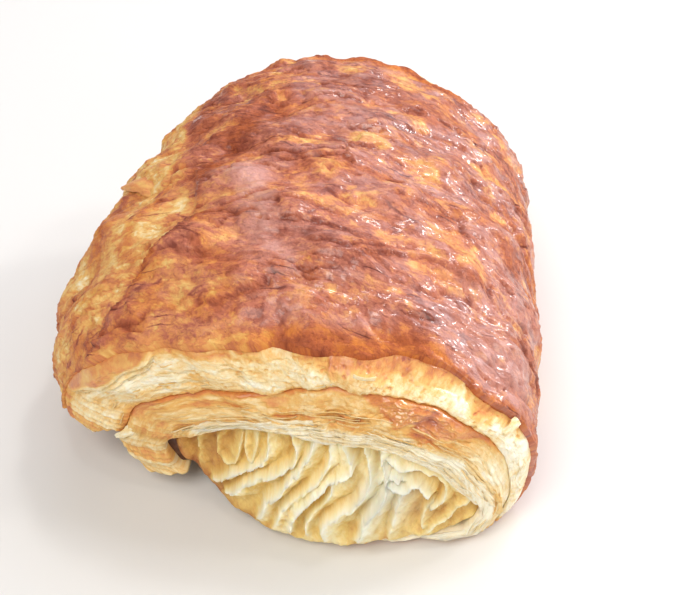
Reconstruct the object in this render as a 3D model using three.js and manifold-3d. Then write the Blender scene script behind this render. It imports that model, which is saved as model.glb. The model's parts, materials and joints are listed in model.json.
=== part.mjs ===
// A pain au chocolat: a strip of laminated dough, rolled round a chocolate baton, glazed and baked.
// Millimetres, +Z up. The roll lies along Y with its near end at -Y, on a flat patch of its underside.
// The origin is on the table under the middle of the roll.

import * as THREE from "three";
import { mergeVertices } from "three/addons/utils/BufferGeometryUtils.js";
import Module from "manifold-3d";

// The crust: where its lips end along Y. A size that changes along the roll is given at the near lip, where
// the roll is fullest and at the far lip, with that fullest place, from -1 at the near lip to 1 at the far
// one, and the power with which the size falls off from it.
const NEAR_LIP = -41;
const FAR_LIP = 44.5;
const LIP_THICKNESS = 0.9;
const CROWN_X = 4; // the crown lies to the right of the middle
const CROWN_HEIGHT = { near: 39, fullest: 49, far: 43.5, place: -0.2, power: 2.4 };

// The two sides of the roll, from the crown out. The near end rides up off the table at its left corner.
const LEFT = {
  halfWidth: { near: 43.6, fullest: 49.4, far: 40, place: -0.42, power: 1.3 },
  bulgeHeight: 14.5, // of the widest point
  shoulder: { near: 1.02, fullest: 1.02, far: 0.9, place: -0.4, power: 1 }, // power of the arch over it
  tuck: 0.55, // power of the curve under the widest point
  reach: 1.1, // over 1, so that this curve ends in a flat patch
  lift: { near: 9.5, fullest: 5, far: 5, place: 0, power: 2.4 }, // clearance under the widest point
  contact: { near: 8, fullest: 26, far: 22, place: 0, power: 2.4 }, // from the crown out to the flat patch
  drawBack: { near: 5.6, far: 13 }, // how far this side of each end lies behind its middle
};
const RIGHT = {
  halfWidth: { near: 41.6, fullest: 41.6, far: 38.7, place: -0.2, power: 2.4 },
  bulgeHeight: 16,
  shoulder: { near: 1.1, fullest: 1.05, far: 1.05, place: 0, power: 1 },
  tuck: 0.35,
  reach: 1.5,
  lift: { near: 0, fullest: 0, far: 0, place: 0, power: 1 },
  contact: { near: 26, fullest: 26, far: 26, place: 0, power: 1 },
  drawBack: { near: 2.6, far: 6 },
};
const UNDERSIDE_POWER = 0.8;

// The turns of dough that show at an end, from the outside in, round the middle of the spiral.
// edge: the turn's outer edge at the left, top and right, as a share of the way out to the crust.
// from, to: how far its outer and its inner edge stand out there past the crust's lip.
const SPIRAL_MIDDLE = { x: 12.7, z: 2 };
const NEAR_TURNS = [
  { edge: [1, 1, 1], from: [0, 0, 0], to: [2, 2.4, 2.4], crown: 0.7, notch: 1.3, rows: 6 },
  { edge: [0.78, 0.84, 0.86], from: [2, 2.2, 2.2], to: [2, 6.2, 6], crown: 0.9, notch: 0.8, rows: 6 },
  { edge: [0.5, 0.62, 0.77], from: [1, 4, 4], to: [10.5, 10.5, 10.5], crown: 2.3, notch: 1.2, rows: 17 },
];
const FAR_TURNS = [
  { edge: [1, 1, 1], from: [0, 0, 0], to: [1.8, 1.8, 1.8], crown: 0.6, notch: 1.1, rows: 4 },
  { edge: [0.8, 0.83, 0.82], from: [1.6, 1.6, 1.6], to: [3, 4.6, 4.6], crown: 0.8, notch: 0.7, rows: 4 },
  { edge: [0.6, 0.62, 0.66], from: [1.5, 2.8, 2.8], to: [7, 7, 7], crown: 1.2, notch: 1, rows: 7 },
];
const NOTCH_PLACE = 0.1; // share of a turn's width from its outer edge
const NOTCH_WIDTH = 0.09;

// The crinkled dough in the middle of each end: ribs that run down it on a slant.
const RIB_PITCH = 7.6;
const RIB_DEPTH = 0.95;
const RIB_SLANT = 0.62; // sideways run of a rib for each millimetre of height
const RIB_SWAY = 1.1; // how far the ribs wander to each side
const RIB_SWAY_HEIGHT = 5.5;

// Uneven places on the crust: low swells across the roll and along it.
const SWELLS = [
  { height: 0.55, across: 27, along: 19, phase: 0.4 },
  { height: 0.4, across: -41, along: 13.5, phase: 2.1 },
  { height: 0.3, across: 15, along: -31, phase: 4.4 },
];
const LIP_WAVE = { depth: 0.7, lengths: [9.5, 23] };

// The baton, with its long side leaning to the left, and the slots through which its ends show.
const BATON = { width: 8, thickness: 4.4, corner: 1.2, length: 72, lean: 26 };
const BATON_END = { x: -18.3, y: -38.8, z: 9.5 }; // middle of its near end
const SLOT = { width: 5, thickness: 2, corner: 0.8, reach: 30 };
const CLEARANCE = 0.3;

// Colours and how rough the surfaces are.
const CRUST_COLOUR = 0xc8845a;
const CRUST_ROUGHNESS = 0.45;
const CHOCOLATE_COLOUR = 0x5a341e;
const CHOCOLATE_ROUGHNESS = 0.5;

// The mesh: columns round the roll, most of them over its top, and rows along the crust.
const COLUMNS = 90;
const CRUST_ROWS = 19;
const TOP_START = THREE.MathUtils.degToRad(-25);
const TOP_SWEEP = THREE.MathUtils.degToRad(230);
const TOP_COLUMNS = 0.86; // share of the columns
const FULL_TURN = 2 * Math.PI;

const lerp = THREE.MathUtils.lerp;

// A size at a place along the crust, from -1 at the near lip to 1 at the far one.
function sizeAt(along, size) {
  const isNear = along < size.place;
  const away = isNear ? (size.place - along) / (1 + size.place) : (along - size.place) / (1 - size.place);
  return lerp(size.fullest, isNear ? size.near : size.far, away ** size.power);
}

// The angle round the roll of a column, from the right side over the top to the left.
function columnAngle(share) {
  if (share < TOP_COLUMNS) return TOP_START + (TOP_SWEEP * share) / TOP_COLUMNS;
  const rest = (share - TOP_COLUMNS) / (1 - TOP_COLUMNS);
  return TOP_START + TOP_SWEEP + (FULL_TURN - TOP_SWEEP) * rest;
}

// The crust's cross-section: an arch over the widest points, and a tucked underside with a flat patch.
// sideways is how far out a point is, from 0 at the crown to 1 at the widest point.
function section(angle, along) {
  const cos = Math.cos(angle);
  const sin = Math.sin(angle);
  const side = cos < 0 ? LEFT : RIGHT;
  const shoulder = sizeAt(along, side.shoulder);
  const sideways = Math.abs(cos) ** (sin < 0 ? side.tuck : shoulder);
  const halfWidth = sizeAt(along, side.halfWidth);
  const reach = halfWidth * sideways;
  const x = CROWN_X + (cos < 0 ? -reach : reach);
  if (sin >= 0) {
    const arch = sizeAt(along, CROWN_HEIGHT) - side.bulgeHeight;
    return { x, z: side.bulgeHeight + arch * sin ** shoulder, sideways };
  }
  const lift = sizeAt(along, side.lift);
  const contact = sizeAt(along, side.contact);
  const slope = lift * Math.max(0, (reach - contact) / (halfWidth - contact));
  const curl = Math.max(0, 1 - side.reach * Math.abs(sin) ** UNDERSIDE_POWER);
  return { x, z: slope + (side.bulgeHeight - lift) * curl, sideways };
}

// A size given at the left, the top and the right of an end, at a point of its outline.
function sizeRound(angle, sideways, [left, top, right]) {
  const bend = Math.sin(angle) < 0 ? sideways : sideways * sideways;
  return lerp(top, Math.cos(angle) < 0 ? left : right, bend);
}

// How far a point of an end lies behind the end's middle, at a share of the way out to the crust.
function drawBack(angle, sideways, share, end) {
  return share * share * sizeRound(angle, sideways, [LEFT.drawBack[end], 0, RIGHT.drawBack[end]]);
}

// The wavy edge of a lip, as a length along Y.
function lipWave(x) {
  const waves = LIP_WAVE.lengths.map((length, i) => Math.sin((FULL_TURN * x) / length + i));
  return (LIP_WAVE.depth * (waves[0] + waves[1])) / waves.length;
}

// The low swells of the crust, in millimetres outwards.
function swellHeight(x, y) {
  const heights = SWELLS.map((s) => s.height * Math.sin(FULL_TURN * (x / s.across + y / s.along) + s.phase));
  return heights.reduce((sum, height) => sum + height, 0);
}

// A point of the crust. It swells only over the top and sides, so the underside stays flat.
function crustPoint(angle, along) {
  const { x, z, sideways } = section(angle, along);
  const wave = lipWave(x);
  const near = NEAR_LIP + drawBack(angle, sideways, 1, "near") + wave;
  const far = FAR_LIP - drawBack(angle, sideways, 1, "far") - wave;
  const y = lerp(near, far, (along + 1) / 2);
  const outward = new THREE.Vector2(x - SPIRAL_MIDDLE.x, z - SPIRAL_MIDDLE.z).normalize();
  const over = THREE.MathUtils.smoothstep(Math.sin(angle), -0.1, 0.5);
  const height = over * (1 - along ** 4) * swellHeight(x, y);
  return new THREE.Vector3(x + outward.x * height, y, z + outward.y * height);
}

// The ribs of the crinkled middle, from -1 in a valley to 1 on a ridge.
function rib(x, z) {
  const sway = RIB_SWAY * Math.sin(z / RIB_SWAY_HEIGHT + x / RIB_PITCH);
  return Math.sin((FULL_TURN * (x - RIB_SLANT * z + sway)) / RIB_PITCH);
}

// A point of an end's face: a turn of the spiral, and the share of its width from its outer edge.
function endPoint(angle, turns, index, share, end) {
  const direction = end === "near" ? -1 : 1;
  const turn = turns[index];
  const next = turns[index + 1];
  const crust = section(angle, direction);
  const at = (size) => sizeRound(angle, crust.sideways, size);
  const out = lerp(at(turn.edge), next ? at(next.edge) : 0, share);
  const x = lerp(SPIRAL_MIDDLE.x, crust.x, out);
  const z = lerp(SPIRAL_MIDDLE.z, crust.z, out);
  const above = THREE.MathUtils.smoothstep(Math.sin(angle), -0.6, -0.1);
  const notch = above * turn.notch * Math.exp(-(((share - NOTCH_PLACE) / NOTCH_WIDTH) ** 2));
  const face = lerp(at(turn.from), at(turn.to), share) + turn.crown * Math.sin(Math.PI * share);
  const ribs = next ? 0 : above * RIB_DEPTH * rib(x, z) * Math.sin(Math.PI * Math.sqrt(share));
  const back = drawBack(angle, crust.sideways, out, end) + out * out * lipWave(crust.x);
  const lip = end === "near" ? NEAR_LIP : FAR_LIP;
  return new THREE.Vector3(x, lip + direction * (face - notch + ribs - back), z);
}

// The rows of an end, from the crust's lip in to the middle of the spiral.
function endRows(turns, end) {
  const rows = [];
  turns.forEach((turn, index) => {
    for (let row = 0; row < turn.rows; row += 1) {
      const share = row / (turn.rows - 1);
      rows.push((angle) => endPoint(angle, turns, index, share, end));
    }
  });
  return rows;
}

// The rows of the crust from the near lip to the far one, which the ends' outermost rows round off.
function crustRows() {
  const rows = [];
  const lipShare = 1 - (2 * LIP_THICKNESS) / (FAR_LIP - NEAR_LIP);
  for (let row = 0; row <= CRUST_ROWS; row += 1) {
    const along = lerp(-lipShare, lipShare, row / CRUST_ROWS);
    rows.push((angle) => crustPoint(angle, along));
  }
  return rows;
}

// Moves the vertices of a ball to the rows of the roll, from the near end's middle to the far end's.
function rollGeometry() {
  const rows = [...endRows(NEAR_TURNS, "near").reverse(), ...crustRows(), ...endRows(FAR_TURNS, "far")];
  const ball = new THREE.SphereGeometry(1, COLUMNS, rows.length - 1);
  const position = ball.getAttribute("position");
  for (let i = 0; i < position.count; i += 1) {
    const column = (i % (COLUMNS + 1)) % COLUMNS;
    const row = rows[Math.floor(i / (COLUMNS + 1))];
    const point = row(columnAngle(column / COLUMNS));
    position.setXYZ(i, point.x, point.y, Math.max(point.z, 0));
  }
  return ball;
}

// A bar with rounded corners along Y that leans to the left, with the middle of its near end at the origin.
function barGeometry(width, thickness, corner, length) {
  const x = thickness / 2 - corner;
  const y = width / 2 - corner;
  const quarter = Math.PI / 2;
  const shape = new THREE.Shape();
  shape.absarc(x, -y, corner, -quarter, 0);
  shape.absarc(x, y, corner, 0, quarter);
  shape.absarc(-x, y, corner, quarter, 2 * quarter);
  shape.absarc(-x, -y, corner, 2 * quarter, 3 * quarter);
  const bar = new THREE.ExtrudeGeometry(shape, { depth: length, bevelEnabled: false, curveSegments: 4 });
  return bar.rotateX(-quarter).rotateY(-THREE.MathUtils.degToRad(BATON.lean));
}

// The room that the baton takes in the dough, with a slot from each of its ends to the outside.
function batonRoom() {
  const grow = 2 * CLEARANCE;
  const room = barGeometry(
    BATON.width + grow,
    BATON.thickness + grow,
    BATON.corner + CLEARANCE,
    BATON.length + grow,
  );
  const slots = barGeometry(SLOT.width, SLOT.thickness, SLOT.corner, BATON.length + 2 * SLOT.reach);
  room.translate(BATON_END.x, BATON_END.y - CLEARANCE, BATON_END.z);
  slots.translate(BATON_END.x, BATON_END.y - SLOT.reach, BATON_END.z);
  return solidOf(room).add(solidOf(slots));
}

const wasm = await Module();
wasm.setup();

function solidOf(geometry) {
  const bare = geometry.clone();
  bare.deleteAttribute("normal");
  bare.deleteAttribute("uv");
  const merged = mergeVertices(bare, 1e-4);
  const vertProperties = merged.getAttribute("position").array;
  const triVerts = new Uint32Array(merged.index.array);
  return new wasm.Manifold(new wasm.Mesh({ numProp: 3, vertProperties, triVerts }));
}

function geometryOf(solid) {
  const mesh = solid.getMesh();
  const geometry = new THREE.BufferGeometry();
  geometry.setAttribute("position", new THREE.BufferAttribute(mesh.vertProperties, 3));
  geometry.setIndex(new THREE.BufferAttribute(mesh.triVerts, 1));
  geometry.computeVertexNormals();
  return geometry;
}

function namedMesh(name, geometry, color, roughness) {
  const material = new THREE.MeshStandardMaterial({ color, roughness, metalness: 0 });
  const mesh = new THREE.Mesh(geometry, material);
  mesh.name = name;
  return mesh;
}

const pastrySolid = solidOf(rollGeometry()).subtract(batonRoom());
const baton = barGeometry(BATON.width, BATON.thickness, BATON.corner, BATON.length);
baton.translate(BATON_END.x, BATON_END.y, BATON_END.z);

const painAuChocolat = new THREE.Group();
painAuChocolat.name = "pain_au_chocolat";
painAuChocolat.add(namedMesh("pastry", geometryOf(pastrySolid), CRUST_COLOUR, CRUST_ROUGHNESS));
painAuChocolat.add(namedMesh("chocolate_baton", baton, CHOCOLATE_COLOUR, CHOCOLATE_ROUGHNESS));

export default painAuChocolat;
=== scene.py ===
"""Looks of the pain au chocolat: glazed crust, layered ends, loose flakes and chocolate baton, in the part's own frame.

The roll lies along Y with its near end at -Y and rests on the table at Z 0. Sizes are millimetres until a mesh is made.
"""

import json
import logging
import math
from collections.abc import Callable
from dataclasses import dataclass, field, replace
from enum import Enum

import bpy
import numpy as np
from mathutils import Matrix, Vector

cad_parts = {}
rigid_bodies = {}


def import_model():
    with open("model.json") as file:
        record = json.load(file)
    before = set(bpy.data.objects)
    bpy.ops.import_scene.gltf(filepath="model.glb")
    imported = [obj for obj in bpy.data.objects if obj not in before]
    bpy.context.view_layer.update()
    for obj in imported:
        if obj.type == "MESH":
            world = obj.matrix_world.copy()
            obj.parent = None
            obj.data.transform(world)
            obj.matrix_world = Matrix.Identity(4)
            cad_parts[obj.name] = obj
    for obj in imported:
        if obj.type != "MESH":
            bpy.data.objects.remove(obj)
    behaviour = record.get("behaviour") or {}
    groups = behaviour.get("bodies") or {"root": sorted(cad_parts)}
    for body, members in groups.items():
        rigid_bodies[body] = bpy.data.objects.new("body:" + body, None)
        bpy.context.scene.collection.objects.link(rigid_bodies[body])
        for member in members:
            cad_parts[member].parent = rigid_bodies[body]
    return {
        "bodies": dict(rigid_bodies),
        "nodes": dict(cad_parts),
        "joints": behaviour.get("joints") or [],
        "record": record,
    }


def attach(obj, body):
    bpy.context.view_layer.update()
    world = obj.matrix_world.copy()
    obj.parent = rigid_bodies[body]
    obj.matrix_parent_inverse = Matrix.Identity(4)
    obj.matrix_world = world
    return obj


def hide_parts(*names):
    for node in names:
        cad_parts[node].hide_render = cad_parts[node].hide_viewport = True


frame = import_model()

LOG = logging.getLogger("pain_au_chocolat")
MM = 0.001
FULL_TURN = 2 * math.pi
PHOTO_WIDTH = 690.0
# Metres within which the vertices of a seam are one, and under which an edge is nothing
SEAM_GAP = 2e-7
FLAT_EDGE = 1e-7
END_MIDDLE = (12.7, 12.0)
OUTLINE_STEPS, DEEPEST, DEPTH_STEPS = 1440, 12.0, 7
LINE_STEPS, SOFTEN_STEPS = 720, 24
LAMP_WHITE = (1.0, 0.98, 0.97)

Values = np.ndarray
Pair = tuple[float, float]
Places = tuple[Pair, ...]
Triple = tuple[float, float, float]
Piece = bpy.types.Object
Socket = bpy.types.NodeSocket


def smooth_step(value: Values, low: float, high: float) -> Values:
    """Rises smoothly from 0 at low to 1 at high."""
    share = np.clip((value - low) / (high - low), 0.0, 1.0)
    return share * share * (3.0 - 2.0 * share)


def smooth_fall(value: Values, low: float, high: float) -> Values:
    """Falls smoothly from 1 at low to 0 at high."""
    return 1.0 - smooth_step(value, low, high)


def mix(start: Values, end: Values, share: Values) -> Values:
    """Goes from start to end as share goes from 0 to 1."""
    return start + (end - start) * share


def bell(value: Values, middle: float, width: float) -> Values:
    """A bump of height 1 round a middle value."""
    return np.exp(-(((value - middle) / width) ** 2))


def round_spot(x: Values, y: Values, place: Pair, size: Pair) -> Values:
    """A soft round spot about a place, from 0 to 1."""
    return bell(x, place[0], size[0]) * bell(y, place[1], size[1])


class DoughNoise:
    """Seeded gradient noise for the unevenness of baked dough."""

    def __init__(self, seed: int) -> None:
        """Draws the lattice.

        Args:
            seed: Fixes the random lattice.
        """
        chance = np.random.default_rng(seed)
        self.order = chance.permutation(256)
        slopes = chance.normal(size=(256, 3))
        self.slopes = slopes / np.linalg.norm(slopes, axis=1, keepdims=True)
        self.levels = chance.uniform(-1.0, 1.0, 256)

    def at(self, *axes: Values, layer: float = 0.5) -> Values:
        """Noise from about -1 to 1.

        Args:
            axes: Two scaled coordinates.
            layer: Which sheet of the noise to read, so that fields differ.

        Returns:
            One value for each point.
        """
        points = np.stack(np.broadcast_arrays(*axes, np.float64(layer)), axis=-1).astype(np.float64)
        cell = np.floor(points).astype(np.int64)
        part = points - cell
        fade = part**3 * (part * (part * 6.0 - 15.0) + 10.0)
        total = np.zeros(points.shape[:-1])
        for corner in np.ndindex(2, 2, 2):
            place = cell + corner
            index = self.order[place[..., 0] & 255]
            index = self.order[(index + place[..., 1]) & 255]
            index = self.order[(index + place[..., 2]) & 255]
            weight = np.prod(np.where(corner, fade, 1.0 - fade), axis=-1)
            total += weight * np.sum(self.slopes[index] * (part - corner), axis=-1)
        return total * 1.6

    def rough(self, *axes: Values, layer: float = 0.5, octaves: int = 4) -> Values:
        """Noise with finer noise on it.

        Args:
            axes: Two scaled coordinates.
            layer: Which sheet of the noise to read.
            octaves: How many times the noise is halved in size and added.

        Returns:
            One value for each point.
        """
        total = np.zeros(np.broadcast(*axes).shape)
        for octave in range(octaves):
            scale = 2.0**octave
            total += self.at(*(axis * scale for axis in axes), layer=layer + 7.3 * octave) / scale
        return total

    def level(self, number: Values) -> Values:
        """A fixed random value from -1 to 1 for each whole number."""
        return self.levels[np.floor(number).astype(np.int64) & 255]

    def patches(self, x: Values, y: Values, layer: float, low: float, high: float, octaves: int = 4) -> Values:
        """Patches of rough noise with soft edges, from 0 to 1."""
        return smooth_step(self.rough(x, y, layer=layer, octaves=octaves), low, high)


class RollEnd(Enum):
    """The two open ends of the roll, by the direction in which they face along Y."""

    NEAR = -1
    FAR = 1


@dataclass(frozen=True)
class AlongSize:
    """A size that changes along the roll, from -1 at the near lip to 1 at the far one."""

    near: float
    fullest: float
    far: float
    place: float = 0.0
    power: float = 1.0

    def at(self, along: Values) -> Values:
        """The size at places along the roll."""
        near = along < self.place
        away = np.where(near, (self.place - along) / (1 + self.place), (along - self.place) / (1 - self.place))
        return mix(self.fullest, np.where(near, self.near, self.far), np.clip(away, 0.0, None) ** self.power)


@dataclass(frozen=True)
class RollSide:
    """One side of the roll's cross-section, from the crown out."""

    half_width: AlongSize
    bulge_height: float
    shoulder: AlongSize
    tuck: float
    reach: float
    lift: AlongSize
    contact: AlongSize
    draw_back: dict[RollEnd, float]


@dataclass(frozen=True)
class RollForm:
    """The form that the crust and the ends share, as the solid part has it."""

    lip_y: dict[RollEnd, float] = field(default_factory=lambda: {RollEnd.NEAR: -41.0, RollEnd.FAR: 44.5})
    crown_x: float = 4.0
    crown_height: AlongSize = AlongSize(39.0, 49.0, 43.5, -0.2, 2.4)
    left: RollSide = RollSide(
        half_width=AlongSize(43.6, 49.4, 40.0, -0.42, 1.3),
        bulge_height=14.5,
        shoulder=AlongSize(1.02, 1.02, 0.9, -0.4, 1.0),
        tuck=0.55,
        reach=1.1,
        lift=AlongSize(9.5, 5.0, 5.0, 0.0, 2.4),
        contact=AlongSize(8.0, 26.0, 22.0, 0.0, 2.4),
        draw_back={RollEnd.NEAR: 5.6, RollEnd.FAR: 13.0},
    )
    right: RollSide = RollSide(
        half_width=AlongSize(41.6, 41.6, 38.7, -0.2, 2.4),
        bulge_height=16.0,
        shoulder=AlongSize(1.1, 1.05, 1.05, 0.0, 1.0),
        tuck=0.35,
        reach=1.5,
        lift=AlongSize(0.0, 0.0, 0.0),
        contact=AlongSize(26.0, 26.0, 26.0),
        draw_back={RollEnd.NEAR: 2.6, RollEnd.FAR: 6.0},
    )
    underside_power: float = 0.8
    spiral_x: float = 12.7
    spiral_z: float = 2.0
    wave_depth: float = 0.7
    wave_lengths: Pair = (9.5, 23.0)
    swells: tuple[tuple[float, float, float, float], ...] = (
        (0.55, 27.0, 19.0, 0.4),
        (0.4, -41.0, 13.5, 2.1),
        (0.3, 15.0, -31.0, 4.4),
    )
    top_start: float = math.radians(-25.0)
    top_sweep: float = math.radians(230.0)
    lip_pull: Pair = (0.35, 2.5)
    lip_pull_middle: float = math.radians(58.0)
    lip_pull_spread: float = math.radians(23.0)
    arc_steps: int = 721

    def column_angle(self, share: Values, top_columns: float = 0.9) -> Values:
        """The angle round the roll, from its right side over the top and back under it.

        Args:
            share: Share of the columns, from 0 to 1.
            top_columns: Share of the columns that lie over the top.

        Returns:
            Angles in radians.
        """
        over = self.top_start + self.top_sweep * share / top_columns
        rest = (share - top_columns) / (1.0 - top_columns)
        under = self.top_start + self.top_sweep + (FULL_TURN - self.top_sweep) * rest
        return np.where(share < top_columns, over, under)

    def section(self, angle: Values, along: Values) -> tuple[Values, Values, Values]:
        """The crust's cross-section.

        Args:
            angle: Angles round the roll.
            along: Places along it, from -1 to 1.

        Returns:
            X, Z and how far out each point is, from 0 at the crown to 1 at the widest point.
        """
        cos, sin = np.cos(angle), np.sin(angle)
        places = []
        for side in (self.left, self.right):
            shoulder = side.shoulder.at(along)
            sideways = np.abs(cos) ** np.where(sin < 0, side.tuck, shoulder)
            half_width = side.half_width.at(along)
            reach = half_width * sideways
            arch = self.crown_height.at(along) - side.bulge_height
            over = side.bulge_height + arch * np.clip(sin, 0.0, None) ** shoulder
            lift, contact = side.lift.at(along), side.contact.at(along)
            slope = lift * np.clip((reach - contact) / (half_width - contact), 0.0, None)
            curl = np.clip(1.0 - side.reach * np.abs(sin) ** self.underside_power, 0.0, None)
            under = slope + (side.bulge_height - lift) * curl
            places.append((reach, np.where(sin < 0, under, over), sideways))
        left = cos < 0
        x = self.crown_x + np.where(left, -places[0][0], places[1][0])
        return x, np.where(left, places[0][1], places[1][1]), np.where(left, places[0][2], places[1][2])

    def draw_back(self, angle: Values, sideways: Values, end: RollEnd) -> Values:
        """How far points of an end's outline lie behind the end's middle."""
        bend = np.where(np.sin(angle) < 0, sideways, sideways * sideways)
        return bend * np.where(np.cos(angle) < 0, self.left.draw_back[end], self.right.draw_back[end])

    def pull(self, direction: Values) -> Values:
        """How far the brown crust stops short of the end of the dough, by direction round an end's middle."""
        return self.lip_pull[0] + self.lip_pull[1] * bell(direction, self.lip_pull_middle, self.lip_pull_spread)

    def lip_wave(self, x: Values) -> Values:
        """The long waves of a lip's edge."""
        waves = [np.sin(FULL_TURN * x / length + i) for i, length in enumerate(self.wave_lengths)]
        return self.wave_depth * np.mean(waves, axis=0)

    def swell(self, x: Values, y: Values) -> Values:
        """The low swells of the crust."""
        return sum(
            height * np.sin(FULL_TURN * (x / across + y / along) + phase)
            for height, across, along, phase in self.swells
        )

    def crust(self, angle: Values, along: Values, proud: Values = 0.0) -> Values:
        """Points of the crust.

        Args:
            angle: Angles round the roll.
            along: Places along it, from -1 to 1.
            proud: How far each point stands out from the crust's smooth form.

        Returns:
            Points in millimetres, with X, Y and Z last.
        """
        x, z, sideways = self.section(angle, along)
        wave = self.lip_wave(x)
        near = self.lip_y[RollEnd.NEAR] + self.draw_back(angle, sideways, RollEnd.NEAR) + wave
        far = self.lip_y[RollEnd.FAR] - self.draw_back(angle, sideways, RollEnd.FAR) - wave
        y = mix(near, far, (along + 1.0) / 2.0)
        over = smooth_step(np.sin(angle), -0.1, 0.5)
        height = over * (1.0 - np.minimum(along**4, 1.0)) * self.swell(x, y) + proud
        out_x, out_z = x - self.spiral_x, z - self.spiral_z
        length = np.hypot(out_x, out_z)
        return np.stack([x + out_x / length * height, y, np.maximum(z + out_z / length * height, 0.0)], axis=-1)

    def arc_length(self, angle: Values) -> Values:
        """Way round the roll from its crown, in millimetres, positive to the right and cut under the roll."""
        under = -math.pi / 2
        table = np.linspace(under, under + FULL_TURN, self.arc_steps)
        x, z, _ = self.section(table, np.full_like(table, self.left.half_width.place))
        way = np.concatenate([[0.0], np.cumsum(np.hypot(np.diff(x), np.diff(z)))])
        crown = np.interp(math.pi / 2, table, way)
        return crown - np.interp((angle - under) % FULL_TURN + under, table, way)


@dataclass
class Surface:
    """A shaped surface: its points, the marks that its finish reads, and its chart along and across the layers."""

    points: Values
    marks: dict[str, Values]
    chart: tuple[Values, Values]


def select_only(piece: Piece) -> None:
    """Makes one object the selected and active one."""
    bpy.ops.object.select_all(action="DESELECT")
    piece.select_set(True)
    bpy.context.view_layer.objects.active = piece


def tidy_mesh(piece: Piece) -> None:
    """Closes the seams and poles of a piece and turns its faces outwards.

    Args:
        piece: The piece to tidy.
    """
    select_only(piece)
    bpy.ops.object.mode_set(mode="EDIT")
    bpy.ops.mesh.select_all(action="SELECT")
    bpy.ops.mesh.remove_doubles(threshold=SEAM_GAP)
    bpy.ops.mesh.dissolve_degenerate(threshold=FLAT_EDGE)
    bpy.ops.mesh.normals_make_consistent(inside=False)
    bpy.ops.object.mode_set(mode="OBJECT")
    bpy.ops.object.shade_smooth()


def thicken(piece: Piece, thickness: float) -> None:
    """Gives a sheet its thickness, half to each side, and tidies it.

    Args:
        piece: The sheet, which is the active object.
        thickness: Millimetres.
    """
    wall = piece.modifiers.new("thicken", "SOLIDIFY")
    wall.thickness, wall.offset = thickness * MM, 0.0
    bpy.ops.object.modifier_apply(modifier=wall.name)
    tidy_mesh(piece)


def add_grid(columns: int, rows: int) -> Piece:
    """Adds a flat grid as the only selected object."""
    bpy.ops.object.select_all(action="DESELECT")
    bpy.ops.mesh.primitive_grid_add(x_subdivisions=columns, y_subdivisions=rows, size=1.0)
    return bpy.context.object


def grid_places(piece: Piece) -> Values:
    """Places of a grid's vertices across and along it, from 0 to 1."""
    flat = np.empty(len(piece.data.vertices) * 3, np.float32)
    piece.data.vertices.foreach_get("co", flat)
    return flat.reshape(-1, 3)[:, :2].astype(np.float64) + 0.5


def set_surface(piece: Piece, surface: Surface) -> None:
    """Moves a piece's vertices on to a surface and writes its marks and chart.

    Args:
        piece: The piece to shape.
        surface: Its points, marks and chart.
    """
    mesh = piece.data
    mesh.vertices.foreach_set("co", (surface.points * MM).astype(np.float32).ravel())
    for mark, values in surface.marks.items():
        layer = mesh.attributes.new(mark, "FLOAT", "POINT")
        layer.data.foreach_set("value", np.clip(values, 0.0, 1.0).astype(np.float32))
    chart = np.stack([*surface.chart, np.zeros(len(mesh.vertices))], axis=-1)
    mesh.attributes.new("chart", "FLOAT_VECTOR", "POINT").data.foreach_set("vector", chart.astype(np.float32).ravel())


def shaped_grid(name: str, columns: int, rows: int, shape: Callable[[Values, Values], Surface]) -> Piece:
    """Adds a grid and moves its vertices on to a surface.

    Args:
        name: The piece's name.
        columns: Faces across the grid.
        rows: Faces along it.
        shape: Gives the surface for shares of the columns and numbers of the rows.

    Returns:
        The piece, with its marks as vertex attributes.
    """
    piece = add_grid(columns, rows)
    piece.name = piece.data.name = name
    across, along = grid_places(piece).T
    set_surface(piece, shape(np.rint(across * columns) % columns / columns, np.rint(along * rows).astype(np.int64)))
    tidy_mesh(piece)
    return piece


def linear(red: int, green: int, blue: int) -> tuple[float, float, float, float]:
    """A colour of 0 to 255 on screen as the linear one that a shader reads."""
    shares = (channel / 255.0 for channel in (red, green, blue))
    return (*(s / 12.92 if s <= 0.04045 else ((s + 0.055) / 1.055) ** 2.4 for s in shares), 1.0)


class NodeBench:
    """A node tree with short ways to add and join nodes."""

    def __init__(self, tree: bpy.types.NodeTree) -> None:
        """Works on a node tree."""
        self.tree = tree

    def add(self, kind: str, **settings: object) -> bpy.types.Node:
        """Adds a node and sets its properties."""
        node = self.tree.nodes.new(kind)
        for name, value in settings.items():
            setattr(node, name, value)
        return node

    def feed(self, source: Socket, target: Socket) -> None:
        """Joins an output to an input."""
        self.tree.links.new(source, target)

    def maths(self, operation: str, *values: object) -> Socket:
        """Adds a Math node on sockets or numbers and gives its output."""
        node = self.add("ShaderNodeMath", operation=operation)
        for slot, value in zip(node.inputs, values):
            if isinstance(value, Socket):
                self.feed(value, slot)
            else:
                slot.default_value = value
        return node.outputs[0]

    def mark(self, name: str) -> Socket:
        """Reads a vertex mark of the piece."""
        return self.add("ShaderNodeAttribute", attribute_name=name).outputs["Fac"]


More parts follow.
